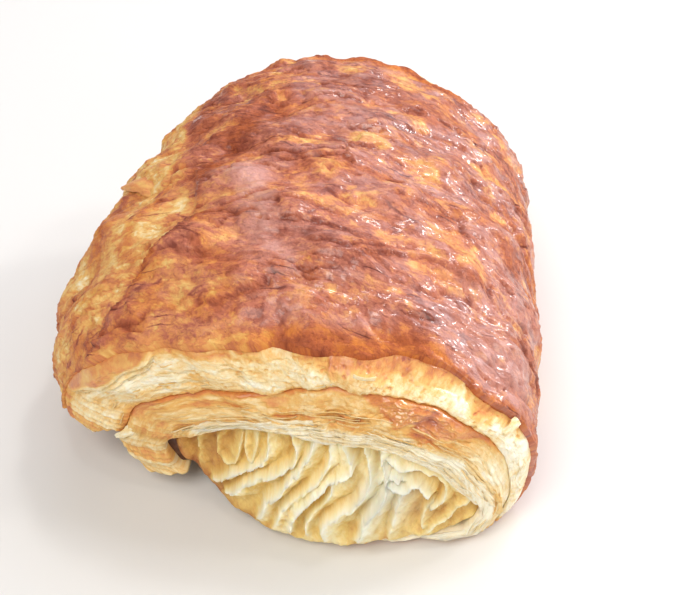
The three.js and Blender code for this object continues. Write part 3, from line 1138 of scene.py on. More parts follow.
class EndFrame:
    """One end of the roll, by direction round its middle, distance from it and stand-out past the crust's lip."""

    def __init__(self, form: RollForm, end: RollEnd, middle: Pair = END_MIDDLE) -> None:
        """Measures the crust's outline at an end.

        Args:
            form: The roll's form.
            end: Which end it is.
            middle: X and Z of the middle.
        """
        angle = np.linspace(0.0, FULL_TURN, OUTLINE_STEPS, endpoint=False)
        x, z, sideways = form.section(angle, np.full_like(angle, float(end.value)))
        self.end, self.facing, self.lip_y = end, float(end.value), form.lip_y[end]
        self.middle = middle
        self.table, self.reaches = self.polar(x, z)
        self.backs = form.draw_back(angle, sideways, end) + form.lip_wave(x)
        self.behind = np.linspace(0.0, DEEPEST, DEPTH_STEPS)
        length = form.lip_y[RollEnd.FAR] - form.lip_y[RollEnd.NEAR]
        places = (self.facing * (1.0 - 2.0 * behind / length) for behind in self.behind)
        self.outlines = [self.polar(*form.section(angle, np.full_like(angle, along))[:2]) for along in places]

    def polar(self, x: Values, z: Values) -> tuple[Values, Values]:
        """Directions and distances of places from the middle."""
        off_x, off_z = x - self.middle[0], z - self.middle[1]
        return np.arctan2(off_z, off_x), np.hypot(off_x, off_z)

    def crust_reach(self, direction: Values) -> Values:
        """How far the crust is from the middle."""
        return np.interp(direction, self.table, self.reaches, period=FULL_TURN)

    def growth(self, direction: Values, behind: Values) -> Values:
        """How much farther out the crust lies some way behind the lip than at the lip.

        Args:
            direction: Directions round the middle.
            behind: Millimetres behind the lip.

        Returns:
            Millimetres.
        """
        reaches = np.stack([np.interp(direction, *outline, period=FULL_TURN) for outline in self.outlines])
        level = np.clip(behind / self.behind[1], 0.0, len(self.behind) - 1.001)
        low = np.floor(level).astype(np.int64)[None]
        near, far = (np.take_along_axis(reaches, index, 0)[0] for index in (low, low + 1))
        return mix(near, far, level - low[0]) - reaches[0]

    def round_size(self, direction: Values, sizes: Triple) -> Values:
        """A size given at the left, the top and the right, at directions round the middle."""
        cos = np.cos(direction)
        bend = np.where(np.sin(direction) < 0, np.abs(cos), cos * cos)
        return mix(sizes[1], np.where(cos < 0, sizes[0], sizes[2]), bend)

    def place(self, direction: Values, reach: Values, stand_out: Values) -> Values:
        """Points of the end.

        Args:
            direction: Directions round the middle.
            reach: Distances from it.
            stand_out: How far the points stand out past the lip at the top of the crust.

        Returns:
            Points in millimetres, with X, Y and Z last.
        """
        share = np.minimum(reach / self.crust_reach(direction), 1.0)
        back = share * share * np.interp(direction, self.table, self.backs, period=FULL_TURN)
        x = self.middle[0] + reach * np.cos(direction)
        z = self.middle[1] + reach * np.sin(direction)
        return np.stack([x, self.lip_y + self.facing * (stand_out - back), np.maximum(z, 0.0)], axis=-1)


class EndLine:
    """A line round an end, kept as a share of the crust's reach so that it fits both ends."""

    def __init__(self, near: EndFrame, places: Places, soften: float = 4.0) -> None:
        """Takes the line from the near end.

        Args:
            near: The near end.
            places: X and Z of places on the line.
            soften: Degrees over which its corners are rounded.
        """
        direction, reach = near.polar(*np.array(places).T)
        self.table = np.linspace(0.0, FULL_TURN, LINE_STEPS, endpoint=False)
        share = np.interp(self.table, direction, reach / near.crust_reach(direction), period=FULL_TURN)
        steps = np.arange(-SOFTEN_STEPS, SOFTEN_STEPS + 1) * 360.0 / LINE_STEPS
        weights = bell(steps, 0.0, soften)
        self.shares = sum(w * np.roll(share, i - SOFTEN_STEPS) for i, w in enumerate(weights)) / weights.sum()

    def reach(self, frame: EndFrame, direction: Values) -> Values:
        """The line's distance from the middle at an end."""
        return np.interp(direction, self.table, self.shares, period=FULL_TURN) * frame.crust_reach(direction)


@dataclass
class WrapSpots:
    """Places on the face of a wrap: direction, also in degrees, share and millimetres in from its edge, way round."""

    direction: Values
    degrees: Values
    share: Values
    distance: Values
    way: Values
    x: Values
    z: Values


@dataclass
class DoughWrap(DoughPiece):
    """A wrap of dough at an end: a bent thick sheet whose layered edge faces out of the roll."""

    frame: EndFrame
    noise: DoughNoise
    outer: EndLine
    inner: EndLine
    rows: int
    face_columns: int
    start: Triple
    stop: Triple
    crown: float = 0.8
    wall_columns: int = 8
    back_columns: int = 4
    depth: float = 6.0
    first: float = math.radians(-42.0)
    last: float = math.radians(180.0)
    tail_slant: float = 0.0
    outer_round: float = 0.5
    inner_round: float = 0.5
    layer_pitch: float = 0.9
    way_radius: float = 30.0
    foot_fade: Pair = (0.5, 2.4)
    foot_bake: float = 0.44

    def profile(self) -> tuple[Values, Values]:
        """Share of the wrap's thickness and way back into the roll of each column, once round its section."""
        wall = np.arange(self.wall_columns) / self.wall_columns
        face = np.linspace(0.0, 1.0, self.face_columns)
        back = np.linspace(1.0, 0.0, self.back_columns + 2)[1:-1]
        share = np.concatenate([0.0 * wall, face, 1.0 + 0.0 * wall, back])
        behind = np.concatenate([1.0 - wall, 0.0 * face, wall + 1.0 / self.wall_columns, 1.0 + 0.0 * back])
        return share, behind * self.depth

    def layers(self, distance: Values, way: Values, pitch: float, sheet: float) -> tuple[Values, Values]:
        """The thin layers of the dough.

        Args:
            distance: Millimetres across the layers.
            way: Millimetres along them.
            pitch: Their mean thickness.
            sheet: Which noise to read.

        Returns:
            How far each layer stands out, from about -1 to 1, and a random value from -1 to 1 for each.
        """
        noise = self.noise
        drift = 1.3 * noise.rough(way / 17, distance / 8, layer=sheet, octaves=2)
        drift = drift + 0.3 * noise.at(way / 4, distance / 3, layer=sheet + 1)
        count = distance / pitch + drift
        part = count - np.floor(count)
        leaf = np.sin(math.pi * np.sqrt(part)) * 2.0 - 1.0
        ragged = 0.5 * noise.at(way / 2.2, np.floor(count) * 1.7, layer=sheet + 2)
        return leaf + 0.6 * noise.level(count) + ragged, noise.level(count + 41.0)

    def look(self, spots: WrapSpots) -> tuple[Values, Values, Values, Values]:
        """Relief in millimetres, bake, gloss and amber of the face."""
        raise NotImplementedError

    def shape(self, column: Values, row: Values) -> Surface:
        """The wrap's points and marks.

        Args:
            column: Share of the columns at each vertex.
            row: Number of the row at each vertex.

        Returns:
            The surface.
        """
        shares, depths = self.profile()
        index = np.rint(column * len(shares)).astype(np.int64)
        closing = (row == 0) | (row == self.rows + 1)
        share = np.where(closing, 0.5, shares[index])
        behind = np.where(closing, self.depth / 2, depths[index])
        along = np.clip((row - 1) / (self.rows - 1), 0.0, 1.0)
        slant = self.tail_slant * (share - 0.5) * smooth_step(along, 0.88, 1.0)
        direction = mix(self.first, self.last, along) + slant
        outer, inner = self.outer.reach(self.frame, direction), self.inner.reach(self.frame, direction)
        reach = mix(outer, inner, share)
        distance = share * (outer - inner)
        unrolled = self.unrolled(direction, distance) - np.where(share == 0.0, behind, 0.0)
        x = self.frame.middle[0] + reach * np.cos(direction)
        z = self.frame.middle[1] + reach * np.sin(direction)
        spots = WrapSpots(direction, np.degrees(direction), share, unrolled, direction * self.way_radius, x, z)
        relief, bake, gloss, amber = self.look(spots)
        face = self.smooth_face(direction, share, distance, outer - inner)
        reach, stand_out = self.roll_over(direction, reach, face - behind, distance, np.where(closing, 0.0, relief))
        points = self.frame.place(direction, reach, stand_out)
        bottom = smooth_fall(z, *self.foot_fade)
        marks = {"bake": mix(bake, self.foot_bake, bottom), "gloss": gloss * (1.0 - bottom), "amber": amber}
        return Surface(points, marks, (spots.way, spots.distance))

    def roll_over(
        self, direction: Values, reach: Values, stand_out: Values, distance: Values, relief: Values
    ) -> tuple[Values, Values]:
        """Lets the relief stand out of the face."""
        return reach, stand_out + relief

    def unrolled(self, direction: Values, distance: Values) -> Values:
        """Millimetres in from the outer edge, measured over its rounding."""
        radius = self.edge_round(direction)
        bend = np.arccos(1.0 - np.clip(distance / radius, 0.0, 1.0)) - math.pi / 2
        return np.maximum(distance, radius) + radius * bend

    def edge_round(self, direction: Values) -> Values:
        """Radius of the outer edge's rounding."""
        return np.full_like(direction, self.outer_round)

    def smooth_face(self, direction: Values, share: Values, distance: Values, width: Values) -> Values:
        """How far the face stands out past the crust's lip without its relief.

        Args:
            direction: Directions round the middle.
            share: Shares of the wrap's thickness from its outer edge.
            distance: The same in millimetres.
            width: The wrap's thickness.

        Returns:
            Stand-out in millimetres.
        """
        rounding = sum(
            radius * (1.0 - np.sqrt(1.0 - np.clip(1.0 - gap / radius, 0.0, 1.0) ** 2))
            for gap, radius in ((distance, self.edge_round(direction)), (width - distance, self.inner_round))
        )
        start, stop = self.stand_outs(direction)
        return mix(start, stop, share) + self.crown * np.sin(math.pi * share) - rounding

    def stand_outs(self, direction: Values) -> tuple[Values, Values]:
        """How far the face's outer and inner edge stand out past the crust's lip."""
        return self.frame.round_size(direction, self.start), self.frame.round_size(direction, self.stop)

    def build(self, name: str) -> Piece:
        """Makes the wrap from a grid that closes round its section and comes to a point in the middle of each cut."""
        return shaped_grid(f"{self.frame.end.name.lower()}_{name}", len(self.profile()[0]), self.rows + 1, self.shape)


@dataclass
class OuterWrap(DoughWrap):
    """The wrap under the crust: puffy and pale, with small pits, a brown skirt and a layered tail at its left."""

    form: RollForm = RollForm()
    tail: Pair = (164.0, 172.0)
    pit_depth: float = 1.5
    sheet_edge: float = 10.6
    sheet_height: float = 0.45
    # How far the brown crust hangs over the face at the left, as degrees and millimetres
    skirt: Places = (
        (143.0, -0.6), (147.0, 1.0), (152.0, 2.4), (157.0, 3.0), (162.0, 3.1), (167.0, 2.0), (172.0, -0.6),
    )
    skirt_height: float = 0.9
    second_lip: float = 1.3
    least_round: float = 0.6
    sunk_depth: float = 1.8

    def edge_round(self, direction: Values) -> Values:
        """Radius of the outer edge's rounding, which comes out from under the crust's lip."""
        return self.least_round + self.form.pull(direction)

    def roll_over(
        self, direction: Values, reach: Values, stand_out: Values, distance: Values, relief: Values
    ) -> tuple[Values, Values]:
        """Lets the relief stand out of the face and, over the rounded edge, out of the crust's form.

        Args:
            direction: Directions round the middle.
            reach: Distances from the middle.
            stand_out: How far the smooth face stands out.
            distance: Millimetres in from the wrap's outer edge.
            relief: Height of the relief.

        Returns:
            Distances from the middle and stand-outs with the relief.
        """
        turned = np.clip(1.0 - distance / self.edge_round(direction), 0.0, 1.0)
        under_crust = smooth_step(-stand_out - self.form.pull(direction), -0.6, 0.6)
        sunk = self.sunk_depth * smooth_step(-stand_out - self.form.pull(direction), 0.3, 2.5)
        grown = reach + self.frame.growth(direction, np.maximum(-stand_out, 0.0)) - sunk
        return grown + np.minimum(relief, 0.5) * turned * (1.0 - under_crust), stand_out + relief * (1.0 - turned)

    def skirt_look(self, spots: WrapSpots, side: float) -> tuple[Values, Values, Values]:
        """The crust that hangs over the face at the left, with a thin pale lip and a second lip under it.

        Args:
            spots: Places on the face.
            side: 1 where the end has the skirt, 0 where it hasn't.

        Returns:
            Relief, how much of the crust's brown shows, and how much of a pale lip shows.
        """
        ragged = 0.25 * self.noise.rough(spots.way / 3.0, 0.0 * spots.way, layer=43.5, octaves=2)
        edge = np.interp(spots.degrees, *np.array(self.skirt).T) * side + (side - 1.0) + ragged
        second = edge + self.second_lip * smooth_step(edge, 0.2, 2.0)
        here = smooth_step(edge, 0.1, 0.7)
        inside = smooth_fall(spots.distance, edge - 0.12, edge + 0.12) * here
        below = smooth_fall(spots.distance, second - 0.12, second + 0.12) * here
        crease = bell(spots.distance, edge + 0.35, 0.3) * here + bell(spots.distance, second + 0.35, 0.3) * here
        relief = self.skirt_height * inside + 0.55 * below - 0.4 * crease
        pale = (bell(spots.distance, edge - 0.3, 0.3) + bell(spots.distance, second - 0.3, 0.4)) * here
        brown = smooth_fall(spots.distance, edge - 0.9, edge - 0.4) * here
        return relief, brown, np.clip(pale, 0.0, 1.0)

    def look(self, spots: WrapSpots) -> tuple[Values, Values, Values, Values]:
        """Relief in millimetres, bake, gloss and amber of the face."""
        noise, share, way, distance = self.noise, spots.share, spots.way, spots.distance
        soft = noise.rough(way / 7, distance / 4.0, layer=32.5, octaves=3)
        lumps = noise.at(way / 2.8, distance / 1.7, layer=33.5)
        fine = noise.rough(way / 1.3, distance / 0.8, layer=48.5, octaves=2)
        pits = np.clip(noise.at(way / 1.1, distance / 0.55, layer=35.5) - 0.5, 0.0, 0.2)
        cheek = smooth_fall(spots.degrees, 14.0, 26.0)
        island = noise.patches(way / 4.5, distance / 1.9, 47.5, -0.02, 0.1, octaves=5)
        stain = noise.patches(way / 8.0, distance / 2.6, 49.5, 0.0, 0.5)
        count = 2.6 * noise.rough(way / 6.5, distance / 3.6, layer=34.5, octaves=3)
        part = count - np.floor(count)
        flake = part * smooth_fall(part, 0.86, 1.0) * (0.6 + 0.4 * noise.level(count))
        drop = bell(part, 0.96, 0.05)
        tail = smooth_step(spots.degrees, *self.tail)
        tail_leaf, tail_level = self.layers(spots.z + 0.12 * spots.x, spots.x, 1.1, 24.5)
        rim = self.sheet_edge + 2.6 * share - 1.2 * np.sin(math.pi * share)
        sheet = smooth_step(spots.x, rim - 0.15, rim + 0.3) * smooth_fall(spots.x, 27.0, 36.0)
        hang, brown, pale = self.skirt_look(spots, 1.0 if self.frame.end is RollEnd.NEAR else 0.0)
        relief = 0.55 * soft + 0.24 * lumps + 0.1 * fine - self.pit_depth * pits + 0.3 * flake + 0.2 * island
        relief = mix(relief, 0.35 * soft + 0.2 * tail_leaf + 0.14 * fine, tail) + self.sheet_height * sheet + hang
        # Lighter where the face is raised and darker where it is sunk, in the pits and at the foot of each flake step:
        # painted light and shade.
        bake = 0.08 - 0.08 * soft - 0.04 * lumps - 0.04 * fine + 0.6 * pits + 0.07 * drop + 0.06 * island + 0.08 * stain
        # The tail's darker tone is partly the dough's and partly painted shade.
        bake = mix(bake, 0.26 + 0.1 * tail_level - 0.05 * tail_leaf - 0.08 * fine, tail) + 0.06 * sheet
        radius, pull = self.edge_round(spots.direction), self.form.pull(spots.direction)
        lip_place = radius * (np.arcsin(1.0 - pull / radius) - math.pi / 2 + 1.0)
        stained = smooth_fall(distance - lip_place + 0.8 * soft + 0.3 * fine, -0.3, 2.4)
        low = smooth_step(share + 0.06 * soft + 0.02 * fine, 0.8, 1.0) * (1.0 - cheek)
        # The right cheek is painted paler: painted light.
        bake = bake + 0.24 * stained * (1.0 - 0.5 * cheek) + 0.22 * low - 0.12 * cheek
        bake = mix(mix(bake, 0.48 + 0.16 * soft + 0.06 * fine - 0.1 * island, brown), 0.2, 0.7 * pale)
        amber = np.clip(0.1 * stain + 0.2 * stained + 0.4 * low, 0.0, 1.0) * (1.0 - 0.5 * brown) * (1.0 - cheek)
        return relief, bake, 0.1 + 0.12 * soft + 0.2 * sheet + 0.25 * brown, amber


@dataclass
class SecondWrap(DoughWrap):
    """The wrap inside the outer one: a caramel patch where it comes out, fine layers, and a pale lip over the core."""

    patch_middle: float = 52.0
    patch_spread: float = 17.0
    patch_step: float = 1.5
    under_steps: Pair = (3.5, 2.5)

    def patch(self, degrees: Values) -> Values:
        """How much of the caramel patch there is, from 0 to 1, by direction round the middle."""
        return bell(degrees, self.patch_middle, self.patch_spread)

    def stand_outs(self, direction: Values) -> tuple[Values, Values]:
        """How far the face's outer and inner edge stand out, with the step where the patch shows."""
        start, stop = super().stand_outs(direction)
        under = smooth_step(-np.sin(direction), 0.2, 0.8)
        start = start + self.patch_step * self.patch(np.degrees(direction))
        return start + self.under_steps[0] * under, stop + self.under_steps[1] * under

    def look(self, spots: WrapSpots) -> tuple[Values, Values, Values, Values]:
        """Relief in millimetres, bake, gloss and amber of the face."""
        noise, share, way, distance = self.noise, spots.share, spots.way, spots.distance
        patch = self.patch(spots.degrees)
        ragged = noise.rough(way / 5, distance / 3, layer=36.5)
        fine = noise.rough(way / 1.5, distance / 0.7, layer=50.5, octaves=2)
        island = noise.patches(way / 4.0, distance / 1.4, 51.5, -0.02, 0.1, octaves=5)
        stain = noise.patches(way / 9.0, distance / 2.2, 52.5, 0.0, 0.5)
        reach = 0.06 + 0.46 * patch + (0.05 + 0.16 * patch) * ragged
        skin = smooth_fall(share, reach - 0.06, reach + 0.04)
        right = smooth_fall(spots.degrees, 10.0, 45.0)
        lip_start = mix(0.6, 0.48, smooth_step(-spots.degrees, -80.0, -50.0))
        lip = smooth_step(share - lip_start, 0.0, 0.2) * smooth_fall(spots.degrees, 160.0, 172.0)
        soft = noise.rough(way / 6, distance / 3.5, layer=37.5, octaves=3)
        lumps = noise.at(way / 2.2, distance / 1.3, layer=44.5)
        leaf, level = self.layers(distance, way, self.layer_pitch, 27.5)
        foot_leaf, foot_level = self.layers(spots.z + 0.15 * spots.x, spots.x, 0.75, 46.5)
        foot = smooth_step(spots.degrees, 162.0, 174.0)
        layered = 0.22 + 0.78 * np.maximum(lip, right)
        line = bell(share, 0.45, 0.035) * smooth_step(noise.at(way / 9, 0.0 * way, layer=38.5), -0.1, 0.2)
        relief = 0.42 * soft + 0.2 * lumps + 0.1 * fine + 0.2 * leaf * layered * (1.0 - 0.8 * skin) - 0.25 * line
        relief = relief + 0.16 * island * (1.0 - lip)
        relief = mix(relief, 0.4 * soft + 0.2 * foot_leaf + 0.12 * fine, foot)
        wrinkle = noise.rough((way + 1.5 * distance) / 2.6, (distance - 0.4 * way) / 0.9, layer=39.5, octaves=3)
        relief = relief + 0.4 * skin * patch * wrinkle
        # Lighter where the face is raised and darker where it is sunk and in the groove: painted light and shade.
        bake = 0.24 - 0.07 * soft - 0.03 * lumps - 0.04 * fine + 0.05 * level * layered - 0.3 * lip + 0.16 * line
        bake = bake + (0.06 * island + 0.1 * stain) * (1.0 - lip) * (1.0 - right)
        # Paler on the right: painted light. The foot's darker tone is partly the dough's and partly painted shade.
        bake = mix(bake - 0.13 * right, 0.29 + 0.1 * foot_level - 0.04 * foot_leaf - 0.08 * soft - 0.06 * fine, foot)
        skin = skin * (1.0 - foot) * smooth_step(spots.degrees, 12.0, 28.0)
        bake = mix(bake, mix(0.48 - 0.06 * soft, 0.46 - 0.1 * soft - 0.12 * wrinkle, patch), skin)
        amber = np.clip(0.25 * stain * (1.0 - lip) * (1.0 - right) + 0.55 * skin, 0.0, 1.0) * (1.0 - foot)
        return relief, bake, 0.06 + 0.9 * skin * patch + 0.2 * skin, amber


@dataclass
class ThinLeaves(DoughPiece):
    """Thin ragged leaves of dough that stand out of a wrap's face, each a strip that follows the wrap's bend."""

    wrap: DoughWrap
    seed: int
    count: int
    shares: Pair
    degrees: Pair
    length: Pair
    width: Pair
    bake: Pair
    lift: float = 0.8
    sunk: float = 0.2
    thickness: float = 0.13
    strips: int = 9

    def lay(self, along: Values, out: Values, chance: np.random.Generator) -> Surface:
        """One leaf.

        Args:
            along: Places along the strip, from -1 to 1.
            out: Places across it, from 0 in the dough to 1 at its ragged edge.
            chance: Source of its place and size.

        Returns:
            The leaf's surface.
        """
        wrap = self.wrap
        share = np.full_like(along, chance.uniform(*self.shares))
        turn = math.radians(chance.uniform(*self.degrees))
        length, width = chance.uniform(*self.length), chance.uniform(*self.width)
        middle = mix(wrap.outer.reach(wrap.frame, turn), wrap.inner.reach(wrap.frame, turn), share[0])
        direction = turn + along * length / 2.0 / middle
        outer, inner = wrap.outer.reach(wrap.frame, direction), wrap.inner.reach(wrap.frame, direction)
        reach = mix(outer, inner, share) + out * chance.normal(0.4, 0.7) * self.lift
        reach = reach + 0.12 * wrap.noise.at(along * length / 2.0, out + chance.uniform(0.0, 40.0), layer=60.5)
        ragged = 0.8 + 0.35 * wrap.noise.at(along * length / 1.6, chance.uniform(0.0, 40.0) + 0.0 * along, layer=61.5)
        taper = np.clip(1.0 - along**2, 0.0, 1.0) ** 0.5 * ragged
        face = wrap.smooth_face(direction, share, share * (outer - inner), outer - inner)
        points = wrap.frame.place(direction, reach, face - self.sunk + out * (width * taper + self.sunk))
        tone = chance.uniform(*self.bake) + 0.08 * (out - 0.5)
        return Surface(points, {"bake": tone, "gloss": 0.08 + 0.0 * out}, (direction * wrap.way_radius, out))

    def build(self, name: str) -> Piece:
        """Makes one strip, copies it for every leaf, joins the leaves and thickens them.

        Args:
            name: The piece's name.

        Returns:
            The piece.
        """
        chance = np.random.default_rng(self.seed)
        strip = add_grid(self.strips, 2)
        spots = grid_places(strip)
        leaves = [strip, *(strip.copy() for _ in range(self.count - 1))]
        for leaf in leaves[1:]:
            leaf.data = strip.data.copy()
            bpy.context.scene.collection.objects.link(leaf)
            leaf.select_set(True)
        for leaf in leaves:
            set_surface(leaf, self.lay(spots[:, 0] * 2.0 - 1.0, spots[:, 1], chance))
        bpy.ops.object.join()
        piece = bpy.context.object
        piece.name = piece.data.name = f"{self.wrap.frame.end.name.lower()}_{name}"
        thicken(piece, self.thickness)
        return piece


@dataclass
class LooseFlake(DoughPiece):
    """A thin flake that has come loose: it is held at its base, curls off the dough and ends in a ragged tip."""

    noise: DoughNoise
    base: Triple
    tip: Triple
    outward: Triple
    width: float
    arch: float
    bake_level: float
    taper: float = 0.8
    thickness: float = 0.3
    columns: int = 16
    rows: int = 24

    def lay(self, along: Values, across: Values) -> Surface:
        """The flake's middle surface.

        Args:
            along: Places from 0 at the base to 1 at the tip.
            across: Places from -1 to 1 across it.

        Returns:
            The surface.
        """
        base, tip, outward = (np.array(place) for place in (self.base, self.tip, self.outward))
        run = tip - base
        side = np.cross(run, outward)
        side = side / np.linalg.norm(side)
        up = np.cross(side, run)
        up = up / np.linalg.norm(up) * np.sign(up @ outward)
        ragged = 1.0 + 0.5 * self.noise.rough(along * 3.0, np.sign(across), layer=53.5)
        half = self.width / 2.0 * (1.0 - self.taper * along**1.4) * ragged
        curl = self.arch * np.sin(math.pi * along) - 0.12 * self.width * across**2
        curl = curl + 0.2 * self.noise.rough(along * 2.5, across * 1.5, layer=54.5, octaves=2)
        jag = 0.08 * self.noise.rough(across * 2.0, 0.0 * along, layer=55.5, octaves=3) * along
        points = base + (along + jag)[:, None] * run + (half * across)[:, None] * side + curl[:, None] * up
        bake = self.bake_level + 0.12 * self.noise.rough(along * 3.0, across * 2.0, layer=56.5, octaves=3)
        length = float(np.linalg.norm(run))
        return Surface(points, {"bake": bake, "gloss": 0.15 + 0.0 * along}, (along * length, half * across))

    def build(self, name: str) -> Piece:
        """Makes the flake from a grid and thickens it.

        Args:
            name: The piece's name.

        Returns:
            The piece.
        """
        piece = add_grid(self.columns, self.rows)
        piece.name = piece.data.name = name
        spots = grid_places(piece)
        set_surface(piece, self.lay(spots[:, 1], spots[:, 0] * 2.0 - 1.0))
        thicken(piece, self.thickness)
        return piece


@dataclass(frozen=True)
class Fold:
    """A leaf of the pleated core, by places along its edge as X and Z, and how far it stands out."""

    places: Places
    height: float = 1.0
    steep_left: bool = True

    def path(self, between: int = 5) -> Values:
        """Points along the edge, on a smooth curve through its places."""
        places = np.array(self.places)
        ends = np.concatenate([2 * places[:1] - places[1:2], places, 2 * places[-1:] - places[-2:-1]])
        share = np.linspace(0.0, 1.0, between, endpoint=False)[:, None]
        runs = []
        for a, b, c, d in zip(ends, ends[1:], ends[2:], ends[3:]):
            runs.append(b + 0.5 * share * (c - a + share * (2 * a - 5 * b + 4 * c - d + share * (3 * (b - c) + d - a))))
        return np.concatenate([*runs, places[-1:]])

    def mirrored(self, middle: float) -> "Fold":
        """The same leaf on the other side of the middle."""
        return Fold(tuple((2 * middle - x, z) for x, z in self.places), self.height, not self.steep_left)


LEAVES = (
    Fold(((-13.0, 15.5), (-13.4, 12.5), (-13.0, 8.0)), 0.5),
    Fold(((-8.9, 17.5), (-9.2, 13.7), (-6.9, 12.9), (-5.0, 15.7), (-4.8, 19.5)), 0.6),
    Fold(((-4.2, 20.0), (-3.6, 16.0), (-2.2, 15.9), (-1.5, 21.0)), 0.6),
    Fold(((0.5, 22.0), (-0.1, 17.7), (-2.1, 15.2), (-6.9, 11.6), (-10.3, 8.0)), 0.9),
    Fold(((4.9, 23.5), (5.4, 19.3), (2.0, 16.0), (-3.5, 11.8), (-7.9, 6.5)), 0.95),
    Fold(((9.0, 24.5), (7.1, 19.9), (5.5, 17.5), (3.0, 13.2), (0.3, 9.7), (-1.8, 4.5)), 1.1),
    Fold(((11.2, 24.5), (11.5, 19.5), (9.5, 16.6), (4.8, 10.8), (1.1, 3.5)), 0.85),
    Fold(((13.4, 24.5), (15.1, 19.1), (12.1, 16.6), (8.3, 13.2), (5.7, 8.9), (4.8, 4.0)), 1.05, False),
    Fold(((12.5, 16.7), (11.7, 13.8), (8.8, 10.2), (7.5, 5.0)), 0.8),
    Fold(((16.6, 24.0), (18.1, 18.7), (17.2, 15.2), (15.6, 12.7), (11.0, 8.9), (10.4, 4.0)), 1.0),
    Fold(((20.0, 23.0), (21.0, 16.1), (19.8, 13.3), (17.8, 10.2), (16.6, 4.0)), 1.2),
    Fold(((20.8, 16.8), (23.8, 15.5), (25.7, 16.4), (28.2, 14.2)), 1.1),
    Fold(((20.7, 16.8), (21.7, 17.8), (23.0, 17.0)), 1.0),
    Fold(((23.4, 14.5), (22.4, 9.0), (21.8, 4.0)), 0.7),
    Fold(((20.8, 20.8), (23.6, 19.0), (26.2, 19.1), (30.4, 16.5), (31.2, 14.5), (30.7, 12.2), (28.7, 10.9)), 0.9),
    Fold(((29.0, 11.9), (27.8, 10.0), (27.3, 6.0)), 0.7),
    Fold(((31.4, 16.5), (35.0, 12.0), (35.5, 10.2), (32.6, 8.4), (28.5, 4.5)), 0.8, False),
)


